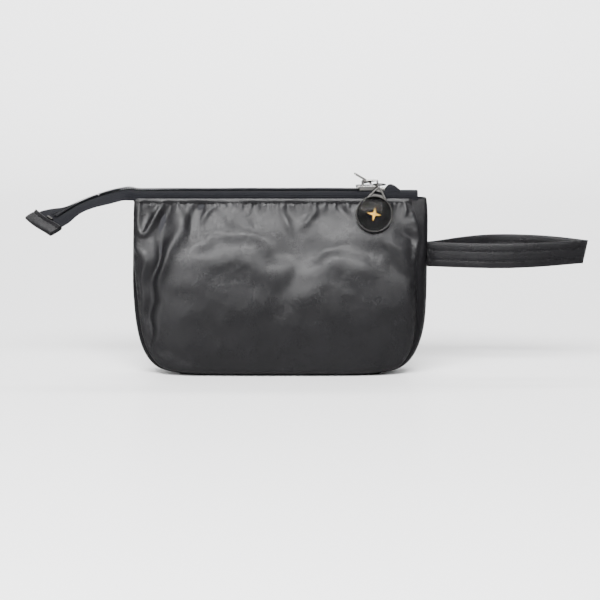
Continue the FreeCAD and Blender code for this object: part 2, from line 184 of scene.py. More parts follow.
def spline(knots, values, at):
    """Natural cubic spline through the values at the knots, read at other places."""
    knots, values = np.asarray(knots, float), np.asarray(values, float)
    at = np.clip(at, knots[0], knots[-1])
    steps = np.diff(knots)
    count = len(knots)
    system = np.eye(count)
    inner = np.arange(1, count - 1)
    system[inner, inner - 1] = steps[:-1]
    system[inner, inner] = 2 * (steps[:-1] + steps[1:])
    system[inner, inner + 1] = steps[1:]
    slopes = np.diff(values, axis=0) / steps.reshape(-1, *[1] * (values.ndim - 1))
    right = np.zeros_like(values)
    right[1:-1] = 6 * np.diff(slopes, axis=0)
    bend = np.linalg.solve(system, right.reshape(count, -1)).reshape(right.shape)
    k = np.clip(np.searchsorted(knots, at, side="right") - 1, 0, count - 2)
    shape = np.shape(at) + (1,) * (values.ndim - 1)
    step = steps[k].reshape(shape)
    a = ((knots[k + 1] - at) / steps[k]).reshape(shape)
    b = 1 - a
    curve = a * values[k] + b * values[k + 1]
    return curve + ((a ** 3 - a) * bend[k] + (b ** 3 - b) * bend[k + 1]) * step ** 2 / 6


def length_along(points):
    """The length run so far at each point of a line."""
    return np.concatenate([[0], np.cumsum(np.linalg.norm(np.diff(points, axis=0), axis=1))])


def circle(count):
    """Angles spaced evenly once round a circle."""
    return 2 * math.pi * np.arange(count) / count


def squared(wave, power):
    """A wave pushed towards a square one: its size raised to a power, its sign kept."""
    return np.sign(wave) * np.abs(wave) ** power


def smooth_step(value, low, high):
    """0 below low, 1 above high and an S curve between."""
    t = np.clip((value - low) / (high - low), 0, 1)
    return t * t * (3 - 2 * t)


def ripple(x, z, seed, wavelength, spread=0.35, stretch=1.0, count=18):
    """Smooth uneven waves: a sum of cosines of nearly one wavelength in seeded directions."""
    draw = np.random.default_rng(seed)
    turn = draw.uniform(0, math.pi, count)
    length = wavelength * (1 + draw.uniform(-spread, spread, count))
    phase = draw.uniform(0, 2 * math.pi, count)
    total = np.zeros(np.broadcast(x, z).shape)
    for t, l, p in zip(turn, length, phase):
        total += np.cos(2 * math.pi * (x * math.cos(t) + z * math.sin(t) / stretch) / l + p)
    return total * math.sqrt(2 / count)


def crease(x, z, start, end, width, height):
    """A ridge or valley along a straight line, bell-shaped across and fading at both ends."""
    (x0, z0), (x1, z1) = start, end
    dx, dz = x1 - x0, z1 - z0
    length = math.hypot(dx, dz)
    along = ((x - x0) * dx + (z - z0) * dz) / length ** 2
    off = ((x - x0) * dz - (z - z0) * dx) / length
    ends = smooth_step(along, -0.15, 0.25) * (1 - smooth_step(along, 0.7, 1.15))
    return height * ends * np.exp(-(off / width) ** 2)


def swelling(x, z, centre, radii, height):
    """A smooth round bump or dent."""
    return height * np.exp(-((x - centre[0]) / radii[0]) ** 2 - ((z - centre[1]) / radii[1]) ** 2)


def grid_normals(points, wrap=False):
    """Unit normals of a grid of points: the first direction crossed with the second."""
    if wrap:
        padded = np.concatenate([points[:, -1:], points, points[:, :1]], axis=1)
        across = np.gradient(padded, axis=1)[:, 1:-1]
    else:
        across = np.gradient(points, axis=1)
    return unit(np.cross(across, np.gradient(points, axis=0)))


def grid_quads(rows, cols, wrap=False, first=0, flip=False):
    """Four-cornered faces between neighbours of a grid whose vertices are numbered by rows."""
    r = np.arange(rows - 1)[:, None]
    c = np.arange(cols if wrap else cols - 1)[None, :]
    here, right = r * cols + c, r * cols + (c + 1) % cols
    quads = np.stack([here, right, right + cols, here + cols], axis=-1).reshape(-1, 4) + first
    return quads[:, ::-1] if flip else quads


def new_object(name, vertices, faces, material, uv=None):
    """A mesh object from vertices in millimetres, with faces, an optional map and one material."""
    mesh = bpy.data.meshes.new(name)
    mesh.from_pydata((np.asarray(vertices).reshape(-1, 3) * MM).tolist(), [],
                     [list(map(int, f)) for f in faces])
    mesh.update()
    if uv is not None:
        layer = mesh.uv_layers.new(name="Cloth")
        corner = np.empty(len(mesh.loops), int)
        mesh.loops.foreach_get("vertex_index", corner)
        flat = np.asarray(uv, float).reshape(-1, 2)[corner] * MM
        layer.data.foreach_set("uv", flat.ravel())
    mesh.materials.append(material)
    mesh.shade_smooth()
    mesh.set_sharp_from_angle(angle=math.radians(75))
    piece = bpy.data.objects.new(name, mesh)
    bpy.context.scene.collection.objects.link(piece)
    return piece


def shell_parts(points, thickness, uv):
    """A closed sheet: the grid as its face, a second grid behind it, and a rim between them."""
    rows, cols = points.shape[:2]
    back = points - grid_normals(points) * thickness
    size = rows * cols
    outer = grid_quads(rows, cols)
    inner = grid_quads(rows, cols, first=size, flip=True)
    r, c = np.arange(rows), np.arange(cols)
    loop = np.concatenate([c[:-1], r[:-1] * cols + cols - 1,
                           (rows - 1) * cols + c[:0:-1], r[:0:-1] * cols])
    ahead = np.roll(loop, -1)
    rim = np.stack([loop, loop + size, ahead + size, ahead], axis=-1)
    return (np.concatenate([points.reshape(-1, 3), back.reshape(-1, 3)]),
            np.concatenate([outer, inner, rim]), np.concatenate([uv.reshape(-1, 2)] * 2))


def sheet_object(name, points, thickness, material, uv=None, flip=False):
    """An object made of one closed sheet. The grid's face points along its first x second side."""
    if flip:
        points = points[:, ::-1]
        uv = None if uv is None else uv[:, ::-1]
    if uv is None:
        uv = points[..., [0, 2]]
    vertices, faces, maps = shell_parts(points, thickness, uv)
    return new_object(name, vertices, faces, material, maps)


def closed_tube(rings):
    """An outline carried along a path, closed by fans round the middles of its two end rings."""
    rows, cols = rings.shape[:2]
    c = np.arange(cols)
    after, last = (c + 1) % cols, (rows - 1) * cols
    near = np.stack([after, c, np.full(cols, rows * cols)], axis=-1)
    far = np.stack([last + c, last + after, np.full(cols, rows * cols + 1)], axis=-1)
    vertices = np.concatenate([rings.reshape(-1, 3), rings[[0, -1]].mean(axis=1)])
    return vertices, [*grid_quads(rows, cols, wrap=True).tolist(), *near.tolist(), *far.tolist()]


def tube_map(along, around):
    """A closed tube's map: one length along it and one round it, and its two end points."""
    flat = np.stack(np.broadcast_arrays(along, around), axis=-1).reshape(-1, 2)
    return np.concatenate([flat, flat[:1], flat[-1:]])


def as_one(parts):
    """The vertices and faces of several shells, numbered as one mesh."""
    faces, count = [], 0
    for vertices, shell in parts:
        faces += [[int(i) + count for i in face] for face in shell]
        count += len(vertices)
    return np.concatenate([vertices for vertices, _ in parts]), faces


def faces_outwards(piece):
    """Makes the faces of every closed shell in a mesh point outwards."""
    work = bmesh.new()
    work.from_mesh(piece.data)
    bmesh.ops.recalc_face_normals(work, faces=work.faces)
    work.to_mesh(piece.data)
    work.free()


def copies(shape, quads, origins, axis_a, axis_b, axis_c):
    """One small shape set down many times, each with its own place and three axes."""
    placed = (origins[:, None] + shape[None, :, :1] * axis_a[:, None]
              + shape[None, :, 1:2] * axis_b[:, None] + shape[None, :, 2:] * axis_c[:, None])
    count, size = placed.shape[:2]
    faces = quads[None] + (np.arange(count) * size)[:, None, None]
    return placed.reshape(-1, 3), faces.reshape(-1, quads.shape[1])


def closed_ring(radius_a, radius_b, wire, around, sides):
    """A ring of wire whose middle line is an ellipse in the first and third axes."""
    t, s = circle(around)[:, None], circle(sides)[None, :]
    a = (radius_a + wire * np.cos(s)) * np.cos(t)
    c = (radius_b + wire * np.cos(s)) * np.sin(t)
    b = wire * np.sin(s) + 0 * t
    points = np.stack([a, b, c], axis=-1)
    rows = np.arange(around)[:, None]
    cols = np.arange(sides)[None, :]
    ahead, right = (rows + 1) % around, (cols + 1) % sides
    quads = np.stack([rows * sides + cols, rows * sides + right,
                      ahead * sides + right, ahead * sides + cols], axis=-1)
    return points.reshape(-1, 3), quads.reshape(-1, 4)


def stitch_shape(length, radius, rings=7, sides=6):
    """One stitch: a thread that rises out of the cloth, runs on and dips back in."""
    t = np.linspace(-1, 1, rings)[:, None]
    s = circle(sides)[None, :]
    thin = radius * np.sqrt(np.clip(1.02 - t ** 4, 0.02, 1))
    x = length / 2 * t + 0 * s
    y = thin * np.cos(s)
    z = thin * np.sin(s) + radius * 0.9 * (1 - 1.9 * t ** 4)
    points = np.stack([x, y, z], axis=-1)
    quads = grid_quads(rings, sides, wrap=True, flip=True)
    first, last = np.arange(sides), (rings - 1) * sides + np.arange(sides)
    caps = [[first[0], first[1], first[2], first[3]], [first[0], first[3], first[4], first[5]],
            [last[3], last[2], last[1], last[0]], [last[5], last[4], last[3], last[0]]]
    return points.reshape(-1, 3), np.concatenate([quads, np.array(caps)])


def stitch_line(points, normals, material, name):
    """Stitches laid end to end along a line of points whose normals point out of the cloth."""
    reach = length_along(points)
    pitch = sizes().stitch / MM
    count = int(reach[-1] / pitch)
    middle = (np.arange(count) + 0.5) * reach[-1] / count
    draw = np.random.default_rng(len(name) * 7 + count)
    middle = middle + draw.normal(0, 0.08, count)
    read = lambda at, of: np.stack([np.interp(at, reach, of[:, k]) for k in range(3)], axis=-1)
    origin = read(middle, points)
    along = unit(read(middle + 0.5, points) - read(middle - 0.5, points))
    up = unit(read(middle, normals))
    side = unit(np.cross(up, along))
    slant = draw.normal(0.10, 0.04, count)[:, None]
    along = unit(along + side * slant)
    side = unit(np.cross(up, along))
    shape, quads = stitch_shape(pitch * 0.66, sizes().thread / MM / 2)
    vertices, faces = copies(shape, quads, origin, along, side, up)
    return new_object(name, vertices, faces, material)


# ---- body surfaces ------------------------------------------------------------------------------
def body_rows(z):
    """Half width, half depth and squareness of the body at the heights z."""
    values = spline(BODY_ROWS[:, 0], BODY_ROWS[:, 1:], z)
    return values[:, 0], values[:, 1], values[:, 2]


def gusset_half(z):
    """Half width of the gussets at the heights z: they narrow in a straight line."""
    return GUSSET_AT_BASE + (GUSSET_AT_TOP - GUSSET_AT_BASE) * z / PANEL_TOP


def seam_share(side, z, end):
    """Where a wall's seam lies, as a share of the half width, at its left (-1) or right (1) end.

    The right gusset wraps round onto the front, so that seam wanders well in from the corner.
    """
    _, b, n = body_rows(z)
    natural = (1 - np.clip(gusset_half(z) / b, 0, 0.98) ** n) ** (1 / n)
    if side == "front" and end > 0:
        return np.minimum(natural, spline(RIGHT_SEAM[:, 0], RIGHT_SEAM[:, 1], z))
    return natural


def wall_grid(side, z, share, inset=0.0):
    """Points of the front or back wall: superellipse sections cut off at the gusset seams.

    Each row holds one height. Along it the points are spaced evenly by length, from the left seam
    at share 0 to the right seam at share 1. Also gives the signed length from the middle.
    """
    a, b, n = body_rows(z)
    a, b = a - inset, b - inset
    left, right = seam_share(side, z, -1), seam_share(side, z, 1)
    turn = 0.5 + 0.5 * np.sin(np.linspace(-1, 1, 801) * math.pi / 2)
    xi = -left[:, None] + (left + right)[:, None] * turn[None, :]
    x = a[:, None] * xi
    y = -b[:, None] * (1 - np.abs(xi) ** n[:, None]) ** (1 / n[:, None])
    length = np.concatenate([np.zeros((len(z), 1)),
                             np.cumsum(np.hypot(np.diff(x), np.diff(y)), axis=1)], axis=1)
    grid = np.empty((len(z), len(share), 3))
    signed = np.empty((len(z), len(share)))
    for row in range(len(z)):
        at = share * length[row, -1]
        grid[row, :, 0] = np.interp(at, length[row], x[row])
        grid[row, :, 1] = np.interp(at, length[row], y[row])
        signed[row] = at - np.interp(0, x[row], length[row])
    grid[..., 2] = z[:, None]
    if side == "back":
        grid[..., 1] *= -1
    return grid, signed


def gusset_grid(side, z, share, inset=0.0):
    """Points of a side gusset: the ends of the superellipse sections, from front to back."""
    a, b, n = body_rows(z)
    a, b = a - inset, b - inset
    rear = np.minimum(gusset_half(z), 0.98 * b)
    front = rear
    if side == "right":
        front = b * (1 - seam_share("front", z, 1) ** n) ** (1 / n)
    y = -front[:, None] + (front + rear)[:, None] * share[None, :]
    x = a[:, None] * (1 - np.abs(y / b[:, None]) ** n[:, None]) ** (1 / n[:, None])
    if side == "left":
        x = -x
    edge = np.minimum(y + front[:, None], rear[:, None] - y)
    return np.stack([x, y, z[:, None] + 0 * y], axis=-1), y, edge


def seam_dip(distance, width=1.6, depth=0.9):
    """How far a panel draws in towards a seam at that distance from it."""
    return -depth * np.exp(-(distance / width) ** 2)


def top_puckers(x, z, seed):
    """Small scallops between the stitches under the top seam, and uneven gathers hanging from them."""
    down = PANEL_TOP - 2.9 - z
    pitch = sizes().stitch / MM
    below = smooth_step(down, -0.3, 0.8)
    wander = 0.7 * ripple(x, 0, seed + 1, 26)
    scallop = 0.30 * np.cos(2 * math.pi * (x + wander) / pitch) * below * np.exp(-(down / 2.2) ** 2)
    uneven = 0.5 * ripple(x, 0, seed + 4, 9, 0.5) * below * np.exp(-(down / 4.0) ** 2)
    fan = x + down * (0.35 * np.sin(x / 23 + seed) + 0.2 * np.sin(x / 9.0))
    strength = np.clip(0.5 + 0.6 * ripple(x, 0, seed + 2, 40), 0, 1.3)
    fade = np.exp(-np.clip(down, 0, None) / (5 + 6 * strength))
    gather = 0.62 * ripple(fan, 0 * x, seed + 3, 24, 0.7) * strength * below * fade
    return scallop + uneven + gather


def lobe(x, z, centre, radii, height):
    """A padded lobe: inside an ellipse the panel rises towards the top, and falls off over the rim."""
    u, w = (x - centre[0]) / radii[0], (z - centre[1]) / radii[1]
    inside = 1 - smooth_step(np.sqrt(u * u + w * w), 0.55, 1.3)
    return height * inside * (0.55 + 0.45 * np.clip(w, -1.2, 1.2))


def loop_ridge(x, z, path, width, height):
    """A rounded ridge that follows a line of points."""
    path = np.asarray(path, float)
    knots = np.linspace(0, 1, len(path))
    line = spline(knots, path, np.linspace(0, 1, 60))
    off = np.full(np.broadcast(x, z).shape, 1e9)
    for px, pz in line:
        off = np.minimum(off, (x - px) ** 2 + (z - pz) ** 2)
    return height * np.exp(-off / width ** 2)


# Start, end, width and height of straight creases.
FRONT_FOLDS = [
    ((-72, 112), (-80, 72), 3.6, -2.6), ((-80, 84), (-85, 14), 3.8, -2.4),
    ((-62, 112), (-76, 62), 5.2, 1.9), ((-76, 76), (-80, 20), 5.0, 1.5),
    ((-92, 92), (-86, 24), 2.6, 1.2),
    ((-52, 112), (-60, 92), 3.0, -1.2), ((-41, 112), (-50, 96), 2.6, 0.9),
    ((-36, 111), (-14, 92), 4.0, 0.9), ((3, 112), (8, 92), 3.2, 1.0),
    ((24, 111), (16, 94), 3.2, 1.0), ((36, 112), (46, 96), 3.0, -0.9),
    ((64, 108), (92, 86), 4.5, -1.4), ((56, 96), (90, 70), 6.0, 1.3),
    ((76, 112), (80, 102), 1.9, 1.3), ((81, 112), (89, 102), 1.7, -1.2),
    ((66, 74), (90, 58), 4.0, -0.6), ((-16, 78), (-40, 62), 2.4, 0.14),
    ((24, 62), (48, 50), 5.0, 0.4), ((-78, 24), (-58, 6), 4.0, -0.9), ((82, 26), (64, 6), 4.0, -0.9),
]
# Centre, radii and height of round swellings and hollows.
FRONT_SWELLINGS = [
    ((13, 86), (13, 17), -1.8), ((-66, 48), (10, 34), 1.8), ((82, 50), (12, 22), 1.6),
    ((-21, 104), (9, 7), -1.3), ((10, 106), (7, 6), -1.0), ((34, 101), (9, 8), -0.9),
    ((-46, 94), (16, 14), -0.8), ((84, 84), (9, 10), -1.0), ((10, 30), (36, 14), 0.4),
]
# Centre, radii and height of the two padded lobes.
FRONT_LOBES = [((-29, 61), (33, 26), 5.0), ((45, 55), (31, 24), 4.6)]
# The rounded ridge where the top left corner is pinched in, as places along and up the panel.
PINCH = [(-90.5, 112.5), (-91.6, 101.0), (-90.4, 93.4), (-86.6, 92.2), (-82.4, 99.0),
         (-77.5, 107.0), (-76.0, 112.5)]


def bent(x, z, seed):
    """Places shifted by slow ripples, so that folds laid out straight wander a little."""
    return x + 1.5 * ripple(x, z, seed, 30), z + 1.5 * ripple(x, z, seed + 2, 26)


BACK_FOLDS = [
    ((-80, 110), (-84, 20), 6.5, -1.1), ((82, 112), (84, 24), 6.5, -1.0),
    ((-58, 112), (-70, 80), 4.4, 1.2), ((60, 112), (72, 76), 4.2, 1.3),
    ((-30, 112), (-14, 96), 4.2, -1.0), ((22, 112), (10, 92), 4.4, -1.1),
    ((80, 30), (60, 8), 4.4, -0.9), ((-78, 28), (-58, 8), 4.2, -0.9),
]


def front_relief(x, z):
    """Folds and swellings of the front panel, in millimetres out of it, by length and height."""
    relief = 0.35 * ripple(x, z, 11, 58) + 0.11 * ripple(x, z, 12, 25) + 0.025 * ripple(x, z, 13, 11)
    relief += top_puckers(x, z, 21)
    bent_x, bent_z = bent(x, z, 14)
    for start, end, width, height in FRONT_FOLDS:
        relief += crease(bent_x, bent_z, start, end, width, height)
    for centre, radii, height in FRONT_SWELLINGS:
        relief += swelling(bent_x, bent_z, centre, radii, height)
    for centre, radii, height in FRONT_LOBES:
        relief += lobe(bent_x, bent_z, centre, radii, height)
    relief += loop_ridge(x, z, PINCH, 2.1, 1.6) + swelling(x, z, (-85.5, 104), (3.4, 8), -1.3)
    return relief * sizes().crease


def back_relief(x, z):
    """Softer folds of the back panel."""
    relief = 0.6 * ripple(x, z, 31, 66) + 0.2 * ripple(x, z, 32, 27) + 0.045 * ripple(x, z, 33, 11)
    relief += top_puckers(x, z, 41)
    bent_x, bent_z = bent(x, z, 34)
    for start, end, width, height in BACK_FOLDS:
        relief += crease(bent_x, bent_z, start, end, width, height)
    return relief * sizes().crease


def panel_surface(side, rows=168, cols=280):
    """A whole leather panel with its relief, drawn in along its seams and doubled at its top edge."""
    z = 0.5 + (PANEL_TOP - 0.5) * np.linspace(0, 1, rows) ** 0.94
    share = np.linspace(0, 1, cols)
    grid, signed = wall_grid(side, z, share)
    if side == "back":
        grid, signed = grid[:, ::-1], signed[:, ::-1]
    heights = z[:, None] + 0 * signed
    relief = front_relief(signed, heights) if side == "front" else back_relief(signed, heights)
    to_side = np.minimum(signed - signed.min(axis=1, keepdims=True),
                         signed.max(axis=1, keepdims=True) - signed)
    calm = smooth_step(to_side, 0, 7) * smooth_step(heights, 0, 9)
    calm = calm * (1 - 0.85 * smooth_step(heights, PANEL_TOP - 3.4, PANEL_TOP - 1.2))
    relief = relief * calm
    relief += seam_dip(to_side) + seam_dip(heights, 2.2, 1.0)
    puff = 0.22 * np.cos(2 * math.pi * heights / 7.0 + ripple(heights, 0, 51, 23))
    relief += puff * np.exp(-(to_side / 4) ** 2) * smooth_step(to_side, 0.5, 2.5)
    hem = smooth_step(heights, PANEL_TOP - 3.0, PANEL_TOP - 2.3)
    relief += 0.45 * hem - 0.35 * np.exp(-((heights - PANEL_TOP + 2.6) / 0.5) ** 2)
    grid = grid + grid_normals(grid) * relief[..., None]
    grid[-1, :, 2] -= 0.15
    return grid


# ---- finishes -----------------------------------------------------------------------------------
def node_group(name, inputs, outputs):
    """An empty shader group with named number inputs and named outputs."""
    group = bpy.data.node_groups.new(name, "ShaderNodeTree")
    for label, value in inputs:
        socket = group.interface.new_socket(name=label, in_out="INPUT", socket_type="NodeSocketFloat")
        socket.default_value = value
    for label, kind in outputs:
        group.interface.new_socket(name=label, in_out="OUTPUT", socket_type=kind)
    return group, group.nodes.new("NodeGroupInput"), group.nodes.new("NodeGroupOutput")


def joined(tree, kind, settings=None, **links):
    """A node with its settings and its input sockets linked or set by name or number."""
    node = tree.nodes.new(kind)
    for key, value in (settings or {}).items():
        setattr(node, key, value)
    for key, value in links.items():
        socket = node.inputs[int(key[1:])] if key[0] == "i" and key[1:].isdigit() else node.inputs[key]
        if isinstance(value, bpy.types.NodeSocket):
            tree.links.new(value, socket)
        else:
            socket.default_value = value
    return node


@cache
def grain_group():
    """Leather grain: fine pebbles, soft creasing between them, and slow changes of tone."""
    group, given, result = node_group(
        "Leather grain", [("Pebble", 1500.0), ("Depth", 1.0)],
        [("Height", "NodeSocketFloat"), ("Tone", "NodeSocketFloat"), ("Polish", "NodeSocketFloat")])
    place = group.nodes.new("ShaderNodeTexCoord").outputs["Object"]
    warp = joined(group, "ShaderNodeTexNoise", Vector=place, Scale=420.0, Detail=2.0)
    shifted = joined(group, "ShaderNodeVectorMath", {"operation": "MULTIPLY_ADD"},
                     i0=warp.outputs["Color"], i1=(0.0006, 0.0006, 0.0006), i2=place)
    cells = joined(group, "ShaderNodeTexVoronoi", {"feature": "DISTANCE_TO_EDGE"},
                   Vector=shifted.outputs["Vector"], Scale=given.outputs["Pebble"], Randomness=0.9)
    pebble = joined(group, "ShaderNodeMapRange", Value=cells.outputs["Distance"],
                    **{"From Min": 0.0, "From Max": 0.22, "To Min": 0.0, "To Max": 0.65})
    fine = joined(group, "ShaderNodeTexNoise", Vector=place, Scale=2600.0, Detail=3.0, Roughness=0.6)
    mixed = joined(group, "ShaderNodeMath", {"operation": "MULTIPLY_ADD"},
                   i0=fine.outputs["Fac"], i1=0.35, i2=pebble.outputs["Result"])
    height = joined(group, "ShaderNodeMath", {"operation": "MULTIPLY"},
                    i0=mixed.outputs["Value"], i1=given.outputs["Depth"])
    slow = joined(group, "ShaderNodeTexNoise", Vector=place, Scale=32.0, Detail=4.0, Roughness=0.55)
    tone = joined(group, "ShaderNodeMapRange", Value=slow.outputs["Fac"],
                  **{"From Min": 0.3, "From Max": 0.7, "To Min": 0.0, "To Max": 1.0})
    patch = joined(group, "ShaderNodeTexNoise", Vector=place, Scale=85.0, Detail=5.0, Roughness=0.6)
    polish = joined(group, "ShaderNodeMath", {"operation": "MULTIPLY_ADD"},
                    i0=patch.outputs["Fac"], i1=0.8, i2=mixed.outputs["Value"])
    group.links.new(height.outputs["Value"], result.inputs["Height"])
    group.links.new(tone.outputs["Result"], result.inputs["Tone"])
    group.links.new(polish.outputs["Value"], result.inputs["Polish"])
    return group


@cache
def weave_group():
    """Woven cloth: threads over and under in two directions of the piece's own map."""
    group, given, result = node_group(
        "Woven threads", [("Along", 1400.0), ("Across", 1400.0)],
        [("Height", "NodeSocketFloat"), ("Tone", "NodeSocketFloat")])
    spread = group.nodes.new("ShaderNodeUVMap")
    spread.uv_map = "Cloth"
    parts = joined(group, "ShaderNodeSeparateXYZ", Vector=spread.outputs["UV"])

    def wave(value, rate):
        turns = joined(group, "ShaderNodeMath", {"operation": "MULTIPLY"}, i0=value, i1=rate)
        around = joined(group, "ShaderNodeMath", {"operation": "MULTIPLY"},
                        i0=turns.outputs["Value"], i1=2 * math.pi)
        return joined(group, "ShaderNodeMath", {"operation": "SINE"}, i0=around.outputs["Value"])

    warp = wave(parts.outputs["X"], given.outputs["Along"])
    weft = wave(parts.outputs["Y"], given.outputs["Across"])
    cross = joined(group, "ShaderNodeMath", {"operation": "MULTIPLY"},
                   i0=warp.outputs["Value"], i1=weft.outputs["Value"])
    height = joined(group, "ShaderNodeMath", {"operation": "MULTIPLY_ADD"},
                    i0=cross.outputs["Value"], i1=0.5, i2=0.5)
    place = group.nodes.new("ShaderNodeTexCoord").outputs["Object"]
    fuzz = joined(group, "ShaderNodeTexNoise", Vector=place, Scale=900.0, Detail=3.0)
    tone = joined(group, "ShaderNodeMath", {"operation": "MULTIPLY_ADD"},
                  i0=height.outputs["Value"], i1=0.5, i2=fuzz.outputs["Fac"])
    group.links.new(height.outputs["Value"], result.inputs["Height"])
    group.links.new(tone.outputs["Value"], result.inputs["Tone"])
    return group


@cache
def wear_group():
    """Handling marks on metal: faint cloudy smears and fine scratches."""
    group, given, result = node_group(
        "Handling marks", [("Scale", 900.0)],
        [("Smear", "NodeSocketFloat"), ("Scratch", "NodeSocketFloat")])
    place = group.nodes.new("ShaderNodeTexCoord").outputs["Object"]
    smear = joined(group, "ShaderNodeTexNoise", Vector=place, Scale=260.0, Detail=5.0, Roughness=0.65)
    long = joined(group, "ShaderNodeMapping", {"vector_type": "POINT"}, Vector=place,
                  Rotation=(0.3, 0.5, 0.2), Scale=(1.0, 1.0, 9.0))
    lines = joined(group, "ShaderNodeTexNoise", Vector=long.outputs["Vector"],
                   Scale=given.outputs["Scale"], Detail=4.0, Roughness=0.7)
    group.links.new(smear.outputs["Fac"], result.inputs["Smear"])
    group.links.new(lines.outputs["Fac"], result.inputs["Scratch"])
    return group


def effect(tree, group, **values):
    """A shared effect placed in a material's nodes, with the material's own values."""
    node = tree.nodes.new("ShaderNodeGroup")
    node.node_tree = group
    for name, value in values.items():
        node.inputs[name].default_value = value
    return node


def new_material(name):
    """A material with its node tree and its main shader."""
    material = bpy.data.materials.new(name)
    material.use_nodes = True
    tree = material.node_tree
    return material, tree, tree.nodes["Principled BSDF"]


def two_tones(tree, factor, dark, light):
    """A colour between two tones, each of them three numbers or the colour of another node."""
    dark, light = (tone if isinstance(tone, bpy.types.NodeSocket) else (*tone, 1)
                   for tone in (dark, light))
    return joined(tree, "ShaderNodeMix", {"data_type": "RGBA"}, i0=factor, i6=dark, i7=light).outputs[2]


def ranged(tree, value, low, high, source=(0.0, 1.0)):
    """A value stretched in a straight line from its source range to low and high."""
    node = joined(tree, "ShaderNodeMapRange", Value=value,
                  **{"From Min": source[0], "From Max": source[1], "To Min": low, "To Max": high})
    return node.outputs["Result"]


def bumped(tree, shader, height, strength, distance):
    """Gives the shader a bumpy surface from a height."""
    bump = joined(tree, "ShaderNodeBump", Height=height, Strength=strength, Distance=distance)
    tree.links.new(bump.outputs["Normal"], shader.inputs["Normal"])


def shade(colour, factor):
    """The colour made darker or lighter by a factor."""
    return tuple(min(1.0, c * factor) for c in colour)


def leather_finish(name, factor=1.0, depth=0.6, pebble=1500.0, gloss=0.29):
    """Satin coated leather: dark, faintly metallic, with a soft wide gloss over a fine grain."""
    material, tree, shader = new_material(name)
    grain = effect(tree, grain_group(), Pebble=pebble)
    base = shade(colours().leather, factor)
    tree.links.new(two_tones(tree, grain.outputs["Tone"], shade(base, 0.82), shade(base, 1.2)),
                   shader.inputs["Base Color"])
    tree.links.new(ranged(tree, grain.outputs["Polish"], 0.37, 0.27, (0.5, 1.3)),
                   shader.inputs["Roughness"])
    shader.inputs["Specular IOR Level"].default_value = gloss
    bumped(tree, shader, grain.outputs["Height"], depth, 0.00014)
    return material


def cloth_finish(name, colour, along, across, depth, rough, sheen, gloss):
    """Woven cloth with its threads in relief and a faint fuzz."""
    material, tree, shader = new_material(name)
    weave = effect(tree, weave_group(), Along=along, Across=across)
    tree.links.new(two_tones(tree, weave.outputs["Tone"], shade(colour, 0.6), shade(colour, 1.5)),
                   shader.inputs["Base Color"])
    tree.links.new(ranged(tree, weave.outputs["Tone"], rough, rough - 0.15, (0.3, 1.2)),
                   shader.inputs["Roughness"])
    shader.inputs["Specular IOR Level"].default_value = gloss
    shader.inputs["Sheen Weight"].default_value = sheen
    shader.inputs["Sheen Roughness"].default_value = 0.4
    bumped(tree, shader, weave.outputs["Height"], depth, 0.00015)
    return material


@cache
def thread_finish():
    """Twisted polyester thread: fine slanting strands and a slight gloss."""
    material, tree, shader = new_material("Sewing thread")
    place = tree.nodes.new("ShaderNodeTexCoord").outputs["Object"]
    strands = joined(tree, "ShaderNodeTexWave", {"bands_direction": "DIAGONAL"},
                     Vector=place, Scale=900.0, Distortion=1.5, Detail=1.0)
    colour = colours().thread
    tree.links.new(two_tones(tree, strands.outputs["Fac"], shade(colour, 0.6), shade(colour, 1.6)),
                   shader.inputs["Base Color"])
    tree.links.new(ranged(tree, strands.outputs["Fac"], 0.7, 0.5), shader.inputs["Roughness"])
    shader.inputs["Specular IOR Level"].default_value = 0.15
    bumped(tree, shader, strands.outputs["Fac"], 0.5, 0.0001)
    return material


@cache
def coil_finish():
    """Dyed nylon wire, slightly shiny where it has been rubbed."""
    material, tree, shader = new_material("Nylon coil")
    place = tree.nodes.new("ShaderNodeTexCoord").outputs["Object"]
    rub = joined(tree, "ShaderNodeTexNoise", Vector=place, Scale=700.0, Detail=4.0)
    colour = colours().tape
    tree.links.new(two_tones(tree, rub.outputs["Fac"], shade(colour, 0.8), shade(colour, 1.8)),
                   shader.inputs["Base Color"])
    tree.links.new(ranged(tree, rub.outputs["Fac"], 0.5, 0.32), shader.inputs["Roughness"])
    shader.inputs["Specular IOR Level"].default_value = 0.3
    bumped(tree, shader, rub.outputs["Fac"], 0.15, 0.0001)
    return material


def metal_finish(name, colour, rough):
    """Plated metal with faint smears and fine scratches."""
    material, tree, shader = new_material(name)
    marks = effect(tree, wear_group(), Scale=1100.0)
    tree.links.new(two_tones(tree, marks.outputs["Smear"], shade(colour, 0.88), shade(colour, 1.08)),
                   shader.inputs["Base Color"])
    tree.links.new(ranged(tree, marks.outputs["Smear"], rough * 0.7, rough * 1.4, (0.3, 0.7)),
                   shader.inputs["Roughness"])
    shader.inputs["Metallic"].default_value = 1.0
    bumped(tree, shader, marks.outputs["Scratch"], 0.05, 0.00005)
    return material


def enamel_finish():
    """Deep black printed disc under the resin, with the faintest mottling."""
    material, tree, shader = new_material("Black enamel")
    marks = effect(tree, wear_group(), Scale=500.0)
    black, worn = (0.0004, 0.0004, 0.0005), (0.0010, 0.0010, 0.0012)
    tree.links.new(two_tones(tree, marks.outputs["Smear"], black, worn), shader.inputs["Base Color"])
    tree.links.new(ranged(tree, marks.outputs["Smear"], 0.3, 0.4), shader.inputs["Roughness"])
    shader.inputs["Specular IOR Level"].default_value = 0.03
    return material


